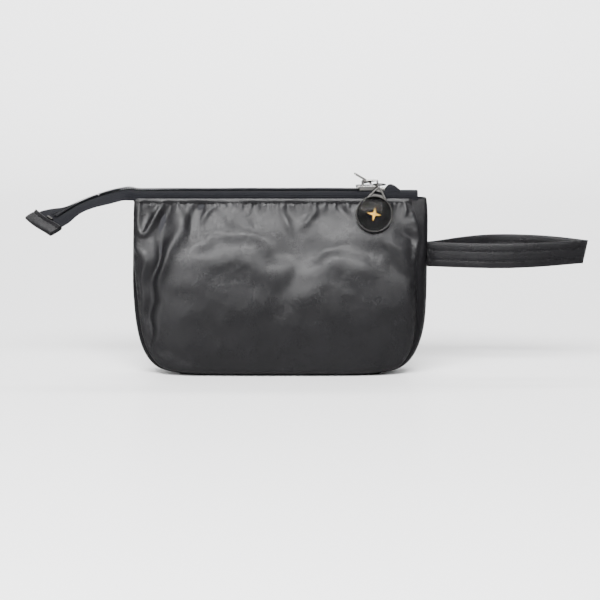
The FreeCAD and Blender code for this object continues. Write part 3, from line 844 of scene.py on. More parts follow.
def resin_finish():
    """Clear domed resin, with slight waviness where it set."""
    material, tree, shader = new_material("Clear resin")
    place = tree.nodes.new("ShaderNodeTexCoord").outputs["Object"]
    wave = joined(tree, "ShaderNodeTexNoise", Vector=place, Scale=90.0, Detail=0.0)
    shader.inputs["Base Color"].default_value = (1, 1, 1, 1)
    shader.inputs["Roughness"].default_value = 0.06
    shader.inputs["Transmission Weight"].default_value = 1.0
    shader.inputs["IOR"].default_value = 1.07
    bumped(tree, shader, wave.outputs["Fac"], 0.02, 0.0002)
    return material


@cache
def tape_finish():
    """Dark woven tape, with more threads along it than across."""
    return cloth_finish("Zip tape", colours().tape, along=1500.0, across=900.0, depth=0.7,
                        rough=0.8, sheen=0.02, gloss=0.14)


@cache
def lining_finish():
    """Thin plain-woven lining."""
    return cloth_finish("Lining cloth", colours().lining, along=2600.0, across=2600.0, depth=0.4,
                        rough=0.85, sheen=0.08, gloss=0.15)


@cache
def body_leather():
    """The leather of the panels and the base."""
    return leather_finish("Satin leather")


@cache
def gusset_painted_shade_leather():
    """The same leather on the gussets, its colour darkened by a factor of 0.8 as painted shade, and less
    glossy.
    """
    # factor=0.8 is painted shade: the same leather made darker where the gussets turn away and fold in.
    return leather_finish("Gusset leather with painted shade", factor=0.8, gloss=0.13)


@cache
def strap_leather():
    """Coarser-grained leather on the strap and the end tab."""
    return leather_finish("Strap leather", depth=0.8, pebble=1300.0, gloss=0.2)


# ---- shared placing -----------------------------------------------------------------------------
REAR_HALVES = (("left", -1), ("right", 1))


def with_mouth(piece):
    """Bakes the piece's placing into its mesh.
    """
    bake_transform(piece)


def soft_normals(piece, normals):
    """Shading from the whole panel's normals, so that two halves of it meet without a line."""
    piece.data.normals_split_custom_set_from_vertices(normals.reshape(-1, 3).tolist())


def split_sheet(name, points, thickness, material, node):
    """The rear wall's sheets, in a left and a right half."""
    cols = points.shape[1]
    middle = cols // 2
    face = grid_normals(points)
    for label, sign in REAR_HALVES:
        first_is_left = points[0, 0, 0] < 0
        take = slice(0, middle + 1) if (label == "left") == first_is_left else slice(middle, cols)
        piece = sheet_object(f"{name}_{label}", points[:, take], thickness, material)
        half = face[:, take]
        soft_normals(piece, np.concatenate([half.reshape(-1, 3), -half.reshape(-1, 3)]))
        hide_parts(node)
        with_mouth(piece)


# ---- pieces -------------------------------------------------------------------------------------
class BAG_OT_front_panel(bpy.types.Operator):
    """Front leather panel with its folds, puckers and seams."""
    bl_idname = "makeup_bag.front_panel"
    bl_label = "Front panel"

    def execute(self, context):
        points = panel_surface("front")
        piece = sheet_object("front_panel_leather", points, sizes().leather / MM, body_leather())
        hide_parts("front_panel")
        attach(piece, "bag")
        return {"FINISHED"}


class BAG_OT_back_panel(bpy.types.Operator):
    """Back leather panel, in two halves."""
    bl_idname = "makeup_bag.back_panel"
    bl_label = "Back panel"

    def execute(self, context):
        points = panel_surface("back", 150, 241)
        split_sheet("back_panel_leather", points, sizes().leather / MM, body_leather(),
                    "back_panel")
        return {"FINISHED"}


class BAG_OT_gussets(bpy.types.Operator):
    """Side gussets, folded slightly inwards towards the zip."""
    bl_idname = "makeup_bag.gussets"
    bl_label = "Gussets"

    def execute(self, context):
        z = np.linspace(0.5, PANEL_TOP, 140)
        share = np.linspace(0, 1, 48)
        for side, seed in (("left", 61), ("right", 71)):
            points, across, edge = gusset_grid(side, z, share)
            heights = points[..., 2]
            tuck = smooth_step(heights, 84, 112) if side == "right" else smooth_step(heights, 50, 108)
            relief = -2.2 * tuck * np.exp(-(across / 2.4) ** 2)
            relief += 0.35 * ripple(across, heights, seed, 34, stretch=2.0) * smooth_step(edge, 0, 4)
            relief += seam_dip(edge, 1.3, 0.8) + seam_dip(heights, 2.0, 0.9)
            if side == "left":
                points = points[:, ::-1]
                relief = relief[:, ::-1]
            points = points + grid_normals(points) * relief[..., None]
            # The gussets' leather is darkened as painted shade.
            piece = sheet_object(f"{side}_gusset_painted_shade_leather", points, sizes().leather / MM, gusset_painted_shade_leather())
            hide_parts(f"{side}_gusset")
            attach(piece, "bag")
        return {"FINISHED"}


class BAG_OT_base(bpy.types.Operator):
    """Flat base with rounded corners."""
    bl_idname = "makeup_bag.base"
    bl_label = "Base"

    def execute(self, context):
        half_width, half_depth, square = (float(v[0]) - 0.9 for v in body_rows(np.array([0.6])))
        u = np.sin(np.linspace(-1, 1, 120) * math.pi / 2) * 0.9995
        v = np.sin(np.linspace(-1, 1, 50) * math.pi / 2)
        x = half_width * u[:, None] + 0 * v[None, :]
        reach = half_depth * (1 - np.abs(u) ** square) ** (1 / square)
        y = reach[:, None] * v[None, :]
        rim = np.maximum(np.abs(v)[None, :], np.abs(u)[:, None] ** 2)
        z = 1.25 * smooth_step(rim, 0.86, 1.0)
        z = z + 0.06 * (1 + ripple(x, y, 81, 30)) * (1 - smooth_step(rim, 0.5, 0.8))
        points = np.stack([x, y, z], axis=-1)
        piece = sheet_object("base_panel_leather", points, 1.0, body_leather())
        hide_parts("base_panel")
        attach(piece, "bag")
        return {"FINISHED"}


class BAG_OT_lining(bpy.types.Operator):
    """Cloth lining, seen when the mouth is open."""
    bl_idname = "makeup_bag.lining"
    bl_label = "Lining"

    def execute(self, context):
        z = np.linspace(2.4, PANEL_TOP - 3.5, 90)
        share = np.linspace(0, 1, 121)
        inset = 2.3
        thick = sizes().lining / MM
        material = lining_finish()
        for side, seed in (("front", 91), ("back", 92)):
            points, signed = wall_grid(side, z, share, inset)
            if side == "back":
                points, signed = points[:, ::-1], signed[:, ::-1]
            heights = points[..., 2]
            calm = smooth_step(80 - np.abs(signed), 0, 10)
            relief = (-0.5 + 0.45 * ripple(signed, heights, seed, 26)) * calm
            relief = np.minimum(relief, 0.25)
            points = points + grid_normals(points) * relief[..., None]
            if side == "back":
                split_sheet("back_lining_cloth", points, thick, material,
                            "back_lining")
            else:
                piece = sheet_object("front_lining_cloth", points, thick, material)
                self.finish(piece, "front_lining")
        for side in ("left", "right"):
            points, across, _ = gusset_grid(side, z, np.linspace(0, 1, 30), inset)
            tuck = smooth_step(points[..., 2], 50, 108)
            points[..., 0] -= np.sign(points[..., 0]) * 2.4 * tuck * np.exp(-(across / 2.4) ** 2)
            piece = sheet_object(f"{side}_gusset_lining_cloth", points, thick, material,
                                 flip=side == "left")
            self.finish(piece, f"{side}_gusset_lining")
        half_width, half_depth, square = (float(v[0]) for v in body_rows(np.array([2.4])))
        u = np.linspace(-1, 1, 80) * 0.999
        v = np.linspace(-1, 1, 30)
        x = (half_width - inset) * u[:, None] + 0 * v[None, :]
        y = ((half_depth - inset) * (1 - np.abs(u) ** square) ** (1 / square))[:, None] * v[None, :]
        floor = np.stack([x, y, 2.3 + 0.2 * ripple(x, y, 95, 25)], axis=-1)
        piece = sheet_object("base_lining_cloth", floor, thick, material)
        self.finish(piece, "base_lining")
        return {"FINISHED"}

    def finish(self, piece, node):
        """Hides the frame node the piece stands for, and fixes the piece to the bag."""
        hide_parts(node)
        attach(piece, "bag")


# ---- zip ----------------------------------------------------------------------------------------
TAPE_THICKNESS = 0.45
# Height of the tapes' flat part, and their width on their map.
TAPE_FLAT, TAPE_WIDTH = 118.35, 18
# One turn of coil (half width, half height, wire), and its distance from the zip's middle.
COIL_TURN, COIL_OUT = (1.42, 0.62, 0.33), 1.25


def zip_drift(x):
    """How far the zip wanders sideways and in height along the bag."""
    side = 0.07 * ripple(x, 0, 101, 70, count=8)
    rise = 0.07 * ripple(x, 0, 102, 55, count=8) + 1.3 * smooth_step(-x, 90.5, 99)
    return side, rise


def tape_section(v):
    """Half the tape's section: flat under the coil, then turned down into the seam (y out, z)."""
    knots = [0.0, 0.3, 0.46, 0.56, 0.7, 1.0]
    values = [(0.2, TAPE_FLAT), (2.9, TAPE_FLAT), (4.6, 118.25), (5.35, 117.3), (5.5, 115.6), (5.1, 112.6)]
    section = spline(knots, values, v)
    return section[:, 0], section[:, 1]


def tape_points(side, x, v):
    """The tape on one side of the zip, carried along the bag."""
    out, height = tape_section(v)
    drift, rise = zip_drift(x)
    sign = -1 if side == "front" else 1
    y = sign * out[None, :] + drift[:, None]
    z = height[None, :] + rise[:, None] * (1 - smooth_step(v, 0.6, 1.0))[None, :]
    points = np.stack([x[:, None] + 0 * y, y, z], axis=-1)
    ribs = 0.11 * np.cos(2 * math.pi * v * 9) * smooth_step(v, 0.28, 0.34)
    lift = unit(np.stack([0 * y, sign * smooth_step(v, 0.35, 0.62) + 0 * y, 1.2 - v + 0 * y], axis=-1))
    return points + lift * (ribs[None, :, None] + 0.05 * ripple(x, 0, 103, 19)[:, None, None])


def coil_object(name, origin, along, out, up):
    """A row of coil turns set down at the given places, each a flat loop of nylon wire."""
    shape, quads = closed_ring(*COIL_TURN, 12, 6)
    vertices, faces = copies(shape, quads, origin, out, along, up)
    return new_object(name, vertices, faces, coil_finish())


class BAG_OT_zip(bpy.types.Operator):
    """Zip tapes and coils along the mouth."""
    bl_idname = "makeup_bag.zip"
    bl_label = "Zip"

    def execute(self, context):
        x = np.linspace(TAPE_LOW[0], TAPE_HIGH[0], 221)
        v = np.linspace(0, 1, 40)
        cloth = np.stack(np.broadcast_arrays(x[:, None], TAPE_WIDTH * v[None, :]), axis=-1)
        middle = len(x) // 2
        for name, side, take, place in (
                ("front_zip_tape_cloth", "front", slice(None), "bag"),
                ("rear_zip_tape_cloth_left", "rear", slice(0, middle + 1), -1),
                ("rear_zip_tape_cloth_right", "rear", slice(middle, None), 1)):
            points = tape_points(side, x, v)[take]
            piece = sheet_object(name, points, TAPE_THICKNESS, tape_finish(), cloth[take],
                                 flip=side == "rear")
            self.finish(piece, f"{side}_zip_tape", "zip_tape", place)
        self.coils()
        return {"FINISHED"}

    def coils(self):
        """The turns of the two coils, those of the rear one half a pitch further along."""
        pitch = sizes().coil_pitch / MM
        start, end = COIL_LOW[0] + 0.4, COIL_HIGH[0] - 0.3
        count = int((end - start) / pitch)
        for side, sign, offset in (("front", -1, 0.0), ("rear", 1, 0.5)):
            x = start + (np.arange(count) + offset) * pitch
            drift, rise = zip_drift(x)
            origin = np.stack([x, drift + sign * COIL_OUT, TAPE_FLAT + 1.0 + rise], axis=-1)
            along = np.tile([1.0, 0.0, 0.0], (count, 1))
            out = np.tile([0.12 * -sign, float(sign), 0.0], (count, 1))
            up = np.tile([0.0, 0.0, 1.0], (count, 1))
            if side == "front":
                piece = coil_object("front_coil", origin, along, out, up)
                self.finish(piece, "front_zip_coil", "zip_coil", "bag")
                continue
            for label, end_sign in REAR_HALVES:
                take = x <= 0 if label == "left" else x > 0
                piece = coil_object(f"rear_coil_{label}", origin[take], along[take], out[take], up[take])
                self.finish(piece, "rear_zip_coil", "zip_coil", end_sign)

    def finish(self, piece, node, slot, place):
        """Hides the frame node the piece stands for, and fixes the piece to the bag or bakes its placing.
        """
        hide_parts(node)
        if place == "bag":
            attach(piece, "bag")
        else:
            with_mouth(piece)


# How far the top stitch row lies below the panels' edge, and how far it runs to either side.
TOP_ROW_DEPTH, TOP_ROW_REACH = 2.5, 92


class BAG_OT_top_stitching(bpy.types.Operator):
    """Stitch rows that hold the panels to the zip."""
    bl_idname = "makeup_bag.top_stitching"
    bl_label = "Top stitching"

    def execute(self, context):
        for side in ("front", "back"):
            points = panel_surface(side)
            heights = points[:, points.shape[1] // 2, 2]
            row = int(np.argmin(np.abs(heights - (PANEL_TOP - TOP_ROW_DEPTH))))
            normals = grid_normals(points)[row]
            line = points[row] + normals * 0.05
            keep = np.abs(line[:, 0]) < TOP_ROW_REACH
            if side == "front":
                piece = stitch_line(line[keep], normals[keep], thread_finish(), "front_top_stitches")
                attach(piece, "bag")
                continue
            for label, sign in REAR_HALVES:
                part = keep & (sign * line[:, 0] >= 0)
                piece = stitch_line(line[part], normals[part], thread_finish(),
                                    f"back_top_stitches_{label}")
                with_mouth(piece)
        return {"FINISHED"}


# ---- tail ---------------------------------------------------------------------------------------
# Middle, front edge and rear edge of the tail's tape, from the bag to the end tab.
TAIL_STATIONS = np.array([
    [(-94.5, 0.0, 119.6), (-94.5, -5.3, 112.9), (-94.5, 5.3, 112.9)],
    [(-101.0, 0.3, 119.9), (-100.6, -7.2, 113.1), (-101.2, 7.6, 113.4)],
    [(-109.0, 1.0, 118.3), (-108.4, -8.4, 111.6), (-109.6, 9.6, 112.3)],
    [(-120.0, 2.0, 114.6), (-119.0, -8.8, 108.9), (-121.0, 12.0, 110.2)],
    [(-135.0, 4.0, 107.8), (-131.5, -8.2, 102.4), (-139.0, 13.2, 106.2)],
    [(-143.5, 3.0, 102.6), (-137.0, -8.8, 98.2), (-150.0, 12.0, 104.4)],
    [(-149.5, 0.0, 99.0), (-141.6, -9.0, 95.2), (-157.6, 9.0, 102.6)],
    [(-153.0, -2.5, 97.0), (-144.6, -11.2, 93.4), (-161.0, 6.5, 100.6)],
])
TAIL_KNOTS = np.array([0.0, 0.1, 0.22, 0.4, 0.68, 0.85, 0.95, 1.0])
TAIL_SPLIT = 0.36


def tail_points(t, v):
    """The tail's tape: splines through the stations, roof-shaped across and flatter at the end."""
    stations = spline(TAIL_KNOTS, TAIL_STATIONS, t)
    middle, front, rear = stations[:, 0], stations[:, 1], stations[:, 2]
    share = np.abs(v)[None, :, None]
    edge = np.where(v[None, :, None] < 0, front[:, None], rear[:, None])
    points = middle[:, None] + (edge - middle[:, None]) * share
    slack = unit(np.cross(rear - front, np.gradient(middle, axis=0)))
    slack = slack * np.sign(slack[:, 2:])
    crown = 1 - smooth_step(t, 0.75, 0.95)
    roof = (0.9 * np.sin(math.pi * share) ** 2 * (0.35 + 0.65 * crown[:, None, None])
            - 1.4 * crown[:, None, None] * np.exp(-(share / 0.16) ** 2))
    wave = 0.2 * ripple(t[:, None] * 75, v[None, :] * 12, 111, 30)[..., None] * share ** 2
    ribs = 0.1 * np.cos(2 * math.pi * share * 9) * smooth_step(share, 0.28, 0.34)
    points = points + slack[:, None] * (roof + wave + ribs)
    front_root = tape_points("front", middle[:, 0], np.abs(v))
    rear_root = tape_points("rear", middle[:, 0], np.abs(v))
    root = np.where(v[None, :, None] < 0, front_root, rear_root)
    away = smooth_step(t, 0.0, 0.16)[:, None, None]
    return root * (1 - away) + points * away


class BAG_OT_tail(bpy.types.Operator):
    """Zip tail: folded tape and coils that run out past the bag and hang down."""
    bl_idname = "makeup_bag.tail"
    bl_label = "Zip tail"

    def execute(self, context):
        v = np.linspace(-1, 1, 61)
        root, bend_end = (-0.0950, 0, 0.1175), (-0.1015, 0, 0.1170)
        tip_start, tip_end = (-0.1170, 0, 0.1140), (-0.1265, 0, 0.1100)
        spans = (("near", 0.0, TAIL_SPLIT, "bag", "tail", root, bend_end,
                  ("tail_front_tape", "tail_rear_tape"), ("tail_front_coil", "tail_rear_coil")),
                 ("far", TAIL_SPLIT, 1.0, "tail", "tail_tip", tip_start, tip_end,
                  ("tail_end_front_tape", "tail_end_rear_tape"),
                  ("tail_end_front_coil", "tail_end_rear_coil")))
        for label, first, last, body_a, body_b, start, end, tapes, coils in spans:
            t = np.linspace(first, last, 110)
            points = tail_points(t, v)
            uv = np.stack(np.broadcast_arrays(t[:, None] * 78, v[None, :] * 12), axis=-1)
            tape = sheet_object(f"tail_tape_{label}", points, TAPE_THICKNESS, tape_finish(), uv)
            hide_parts(*tapes)
            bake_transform(tape)
            for side, sign, node in (("front", -1, coils[0]), ("rear", 1, coils[1])):
                piece = self.coil(label, side, sign, first, min(last, 0.90))
                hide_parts(node)
                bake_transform(piece)
        return {"FINISHED"}

    def coil(self, label, side, sign, first, last):
        """One coil of the tail, its turns spaced evenly along the tape's middle line."""
        fine = np.linspace(first, last, 400)
        centre = tail_points(fine, np.array([0.0]))[:, 0]
        reach = length_along(centre)
        pitch = sizes().coil_pitch / MM
        count = int(reach[-1] / pitch)
        at = np.interp((np.arange(count) + (0.5 if side == "rear" else 0.0)) * pitch, reach, fine)
        beside = tail_points(at, np.array([0.0, sign * 0.22]))
        along = unit(tail_points(at + 1e-3, np.array([0.0]))[:, 0] - beside[:, 0])
        out = unit(beside[:, 1] - beside[:, 0])
        up = unit(np.cross(along, out))
        up = up * np.sign(up[:, 2:])
        origin = beside[:, 0] + out * COIL_OUT + up * 1.05
        return coil_object(f"tail_coil_{side}_{label}", origin, along, out, up)


class BAG_OT_end_tab(bpy.types.Operator):
    """Folded leather tab over the tail's end, with a raised fold and a row of stitches."""
    bl_idname = "makeup_bag.end_tab"
    bl_label = "End tab"

    def execute(self, context):
        middle, front, rear = TAIL_STATIONS[-2]
        along = unit(rear - front)
        outward = np.array([-7.0, -5.0, -4.0])
        outward = unit(outward - along * outward.dot(along))
        up = np.cross(outward, along)
        up = up * np.sign(up[2])
        width = np.linalg.norm(rear - front) + 2.0
        u = np.linspace(-0.5, 0.5, 70)
        turn = np.linspace(0, 2 * math.pi, 97)[:-1]
        length, thick = 10.0, 1.45
        run = (length / 2) * (1 + squared(np.cos(turn), 0.5))
        rise = thick * squared(np.sin(turn), 0.6)
        ridge = 0.75 * np.exp(-((run - 1.0) / 0.9) ** 2) * (rise > 0)
        dip = -0.35 * np.exp(-((run - 2.9) / 0.5) ** 2) * (rise > 0)
        rings = (middle + u[:, None, None] * width * along
                 + (run[None, :, None] - 0.8) * outward
                 + (rise + ridge + dip)[None, :, None] * up)
        curl = 0.8 * (2 * u[:, None, None]) ** 2 - 0.2 * ripple(u * width, 0, 121, 14)[:, None, None]
        rings = rings + curl * up - 0.35 * up
        piece = new_object("end_tab_leather", *closed_tube(rings), strap_leather())
        faces_outwards(piece)
        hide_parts("tail_end_tab")
        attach(piece, "tail_tip")
        line = (middle + np.linspace(-0.47, 0.47, 40)[:, None] * width * along + 2.1 * outward)
        bend = 0.8 * np.linspace(-0.94, 0.94, 40)[:, None] ** 2
        line = line + up * (thick - 0.62 + bend)
        stitches = stitch_line(line, np.tile(up, (40, 1)), thread_finish(), "end_tab_stitches")
        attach(stitches, "tail_tip")
        return {"FINISHED"}


# ---- strap --------------------------------------------------------------------------------------
STRAP_ROOT_X = 94.2
# Height of the two stitch rows above and below the strap's middle line.
STITCH_ROW = 3.1


def strap_path():
    """The loop's middle line seen from above: out along the front, a tight fold, and back."""
    root, end = STRAP_LOW[0], 199.0
    u = np.linspace(0, 1, 90)
    x = root + (end - root) * u
    front = -1.1 - 9.0 * np.sin(math.pi * u) + 4.0 * u
    back = 1.1 + 18.0 * np.sin(math.pi * u) + 1.8 * u
    lead = np.array([[STRAP_ROOT_X, -1.05], [STRAP_ROOT_X + 1.7, -1.08]])
    tip = np.array([[end + 1.1, 2.9]])
    out = np.stack([x, front], axis=-1)
    home = np.stack([x, back], axis=-1)[::-1]
    raw = np.concatenate([lead, out, tip, home, lead[::-1] * [1, -1]])
    reach = length_along(raw)
    even = np.linspace(0, reach[-1], 420)
    fold = reach[len(lead) + len(out)]
    path = np.stack([np.interp(even, reach, raw[:, k]) for k in range(2)], axis=-1)
    return path, even, fold


class BAG_OT_strap(bpy.types.Operator):
    """Wrist strap: a flat leather band, folded at its end and sewn in two rows."""
    bl_idname = "makeup_bag.strap"
    bl_label = "Wrist strap"

    def execute(self, context):
        path, reach, fold = strap_path()
        run = unit(np.gradient(path, axis=0))
        out = np.stack([run[:, 1], -run[:, 0]], axis=-1)
        middle_z = (STRAP_LOW[2] + STRAP_HIGH[2]) / 2
        half = (STRAP_HIGH[2] - STRAP_LOW[2]) / 2
        to_end = smooth_step(path[:, 0], 120, 200)
        along = np.clip((path[:, 0] - 95) / 105, 0, 1)
        homeward = smooth_step(reach, fold - 8, fold + 8)
        lift = 0.8 * to_end + (2.7 * homeward - 0.7) * np.sin(along * math.pi)
        q = circle(64)
        across = squared(np.cos(q), 0.35)
        height = half * np.sin(q)
        thick = 1.0 - 0.22 * smooth_step(np.abs(height), half - 1.6, half - 0.2)
        groove = 0.16 * sum(np.exp(-((height - row) / 0.55) ** 2) for row in (STITCH_ROW, -STITCH_ROW))
        beat = 0.5 + 0.5 * np.cos(2 * math.pi * reach / (sizes().stitch / MM))
        side = across * (thick - groove * (1 + beat[:, None]))
        slack = 0.15 * ripple(reach[:, None], height[None, :], 131, 40)
        xy = path[:, None] + out[:, None] * (side + slack)[..., None]
        slant = smooth_step(path[:, 0], 170, 199)[:, None] * (half - height[None, :]) * 0.2
        xy = xy - slant[..., None] * np.array([1.0, 0.0])
        wander = 0.125 * ripple(reach, 0, 132, 60)
        narrow = 1 - 0.04 * to_end[:, None]
        z = middle_z + lift[:, None] + wander[:, None] + height[None, :] * narrow
        rings = np.concatenate([xy, z[..., None]], axis=-1)
        piece = new_object("strap_leather", *closed_tube(rings), strap_leather(),
                           tube_map(reach[:, None], height[None, :]))
        faces_outwards(piece)
        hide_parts("strap_outer", "strap_lining")
        self.bend(piece)
        for row, offset_z in (("upper", STITCH_ROW), ("lower", -STITCH_ROW)):
            for face, sign in (("outer", 1), ("inner", -1)):
                line_xy = path + out * sign * 0.86
                keep = (path[:, 0] > 98) & (np.abs(reach - fold) > 4.0)
                for part, where in (("front", reach < fold), ("back", reach > fold)):
                    mask = keep & where
                    z_line = middle_z + lift[mask] + wander[mask] + offset_z
                    line = np.concatenate([line_xy[mask], z_line[:, None]], axis=-1)
                    normal = np.concatenate([out[mask] * sign, np.zeros((mask.sum(), 1))], axis=-1)
                    stitches = stitch_line(line, normal, thread_finish(),
                                           f"strap_stitches_{row}_{face}_{part}")
                    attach(stitches, "strap")
        return {"FINISHED"}

    def bend(self, piece):
        """Bakes the strap's placing into its mesh."""
        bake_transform(piece)


# ---- metal --------------------------------------------------------------------------------------
# The charm hangs from the front of its ring: hook, reach from there to the disc's middle, radii of
# the disc and of its face, lean off the panel and sway to the left.
CHARM_HOOK = np.array([64.2, -5.6, 122.55])
CHARM_REACH, CHARM_RADIUS, CHARM_FACE = 19.6, 12.1, 11.0
CHARM_LEAN, CHARM_SWAY = math.radians(19.5), math.radians(10.5)


def charm_place(points):
    """Points of the charm's own frame (across, down, out of its face) set down where it hangs."""
    face = np.array([0, -math.cos(CHARM_LEAN), math.sin(CHARM_LEAN)])
    slope = np.array([0, -math.sin(CHARM_LEAN), -math.cos(CHARM_LEAN)])
    down = slope * math.cos(CHARM_SWAY) + np.array([-1, 0, 0]) * math.sin(CHARM_SWAY)
    across = np.cross(down, face)
    return CHARM_HOOK + points @ np.stack([across, down, face])


def charm_disc(profile):
    """A closed disc: a profile (radius, out of the face) turned about the middle of the charm."""
    spin = circle(96)
    x = profile[:, :1] * np.cos(spin)
    y = CHARM_REACH + profile[:, :1] * np.sin(spin)
    return closed_tube(np.stack([x, y, profile[:, 1:] + 0 * x], axis=-1))


def charm_neck():
    """The neck's bent wire: a rounded outline carried along a trapezoid with a narrow top."""
    half = [(-6.5, 10.3), (-5.1, 8.3), (-3.3, 5.6), (-1.7, 3.3), (-0.9, 2.3)]
    corners = [*half, (0.0, 1.95), *((-x, y) for x, y in half[::-1])]
    line = spline(np.linspace(0, 1, len(corners)), corners, np.linspace(0, 1, 70))
    path = np.concatenate([line, np.zeros((70, 1))], axis=1)
    along = unit(np.gradient(path, axis=0))
    up = np.tile([0.0, 0.0, 1.0], (70, 1))
    q = circle(20)
    return closed_tube(path[:, None]
                       + np.cross(up, along)[:, None] * (0.85 * squared(np.cos(q), 0.7))[:, None]
                       + up[:, None] * (0.5 * squared(np.sin(q), 0.7))[:, None])


def charm_web(start, end):
    """A flat web that fills the neck between two distances down from the hook."""
    down = np.linspace(start, end, 12)
    reach = np.interp(down, [2.3, 3.3, 5.6, 8.3, 8.9], [0.9, 1.7, 3.3, 5.1, 5.5])
    across = reach[:, None] * np.linspace(-1, 1, 15)
    web = np.stack(np.broadcast_arrays(across, down[:, None], 0.3), axis=-1)
    return shell_parts(web, 0.6, web[..., :2])[:2]


def charm_cup(material):
    """The charm's cup: a disc with a rounded rim, and a neck with a window and an eyelet."""
    rim_middle, rim_half = (CHARM_RADIUS + CHARM_FACE) / 2, (CHARM_RADIUS - CHARM_FACE) / 2
    turn = np.linspace(0, math.pi, 17)
    rim = np.stack([rim_middle + rim_half * np.cos(turn), 1.5 + 0.5 * np.sin(turn)], axis=-1)
    back = [(0.01, -0.5), (CHARM_RADIUS - 0.8, -0.5), (CHARM_RADIUS - 0.3, -0.4),
            (CHARM_RADIUS - 0.05, -0.1), (CHARM_RADIUS, 0.4)]
    profile = np.concatenate([back, rim, [(CHARM_FACE + 0.02, 0.5), (0.01, 0.5)]])
    eyelet, eyelet_faces = closed_ring(1.25, 1.25, 0.32, 40, 12)
    eyelet = eyelet[:, [1, 0, 2]] + np.array([0.0, 0.35, 0.0])
    vertices, faces = as_one([charm_disc(profile), charm_neck(), charm_web(2.3, 4.3),
                              charm_web(6.3, 8.9), (eyelet, eyelet_faces)])
    piece = new_object("charm_cup_metal", charm_place(vertices), faces, material)
    faces_outwards(piece)
    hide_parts("charm_cup")
    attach(piece, "charm")


def turned(name, profile, material, node):
    """A disc of the charm as a piece of its own."""
    vertices, faces = charm_disc(profile)
    piece = new_object(name, charm_place(vertices), faces, material)
    faces_outwards(piece)
    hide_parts(node)
    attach(piece, "charm")
    return piece


def tape_folds():
    """The tapes' cut ends, humped up and turned back on themselves beside the top stops.

    A section runs over the hump and back under it, and is carried from the zip's middle outwards.
    """
    over = [(66.9, 118.6), (68.4, 120.9), (70.2, 122.3), (72.2, 122.2), (74.4, 121.0), (76.9, 118.8)]
    run = spline(np.linspace(0, 1, len(over)), over, np.linspace(0, 1, 50))
    under = np.stack([np.linspace(76.7, 67.1, 16), np.full(16, TAPE_FLAT)], axis=-1)
    section = np.concatenate([run, under])
    for side, sign, node in (("front", -1, "front_tape_fold"), ("rear", 1, "rear_tape_fold")):
        width = np.linspace(0, 1, 24)
        sag = 0.9 * smooth_step(width, 0.45, 1.0) + 0.12 * np.cos(2 * math.pi * width * 4)
        taper = np.sqrt(np.clip(1 - ((width - 0.5) / 0.505) ** 8, 0, 1))
        high = (section[:, 1] - TAPE_FLAT)[None, :] * taper[:, None]
        x = section[None, :, 0] + 1.1 * width[:, None]
        y = sign * (0.35 + 4.5 * width)[:, None] + 0 * x
        z = TAPE_FLAT + high - sag[:, None] * (0.25 + 0.75 * high / 4)
        piece = new_object(f"{side}_tape_hump", *closed_tube(np.stack([x, y, z], axis=-1)),
                           tape_finish(), tube_map(length_along(section)[None, :], 5 * width[:, None]))
        faces_outwards(piece)
        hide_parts(node)
        if side == "front":
            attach(piece, "bag")
        else:
            with_mouth(piece)


def rear_stop(material):
    """The rear top stop: a crimped metal bar, rounded along its edges."""
    low, high = node_box("rear_top_stop")
    middle, half = (low + high) / 2, (high - low) / 2
    u = np.linspace(-1, 1, 40)
    q = circle(48)
    thin = (1 - np.abs(u) ** 9) ** (1 / 5)
    outline = np.stack([squared(np.cos(q), 0.45) * half[1], squared(np.sin(q), 0.45) * half[2]], axis=-1)
    waist = 1 - 0.10 * np.exp(-(u / 0.3) ** 2)
    rings = np.stack(np.broadcast_arrays(
        middle[0] + half[0] * u[:, None],
        middle[1] + outline[None, :, 0] * (thin * waist)[:, None],
        middle[2] + outline[None, :, 1] * thin[:, None]), axis=-1)
    piece = new_object("rear_top_stop_metal", *closed_tube(rings), material)
    faces_outwards(piece)
    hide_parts("rear_top_stop")
    with_mouth(piece)


def softened(node, material, width):
    """A copy of a frame node with its loose triangles joined up and its sharp edges rounded."""
    source = frame["nodes"][node]
    work = bmesh.new()
    work.from_mesh(source.data)
    bmesh.ops.remove_doubles(work, verts=work.verts, dist=2e-6)
    bmesh.ops.dissolve_limit(work, angle_limit=math.radians(0.5), verts=work.verts, edges=work.edges)
    bmesh.ops.recalc_face_normals(work, faces=work.faces)
    mesh = bpy.data.meshes.new(f"{node}_metal")
    work.to_mesh(mesh)
    work.free()
    mesh.materials.append(material)
    mesh.shade_smooth()
    mesh.set_sharp_from_angle(angle=math.radians(40))
    piece = bpy.data.objects.new(f"{node}_metal", mesh)
    bpy.context.scene.collection.objects.link(piece)
    bevel = piece.modifiers.new("Rounded edges", "BEVEL")
    bevel.width = width * MM
    bevel.segments = 4
    bevel.limit_method = "ANGLE"
    bevel.angle_limit = math.radians(30)
    bevel.harden_normals = True
    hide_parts(node)
    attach(piece, source["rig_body"])


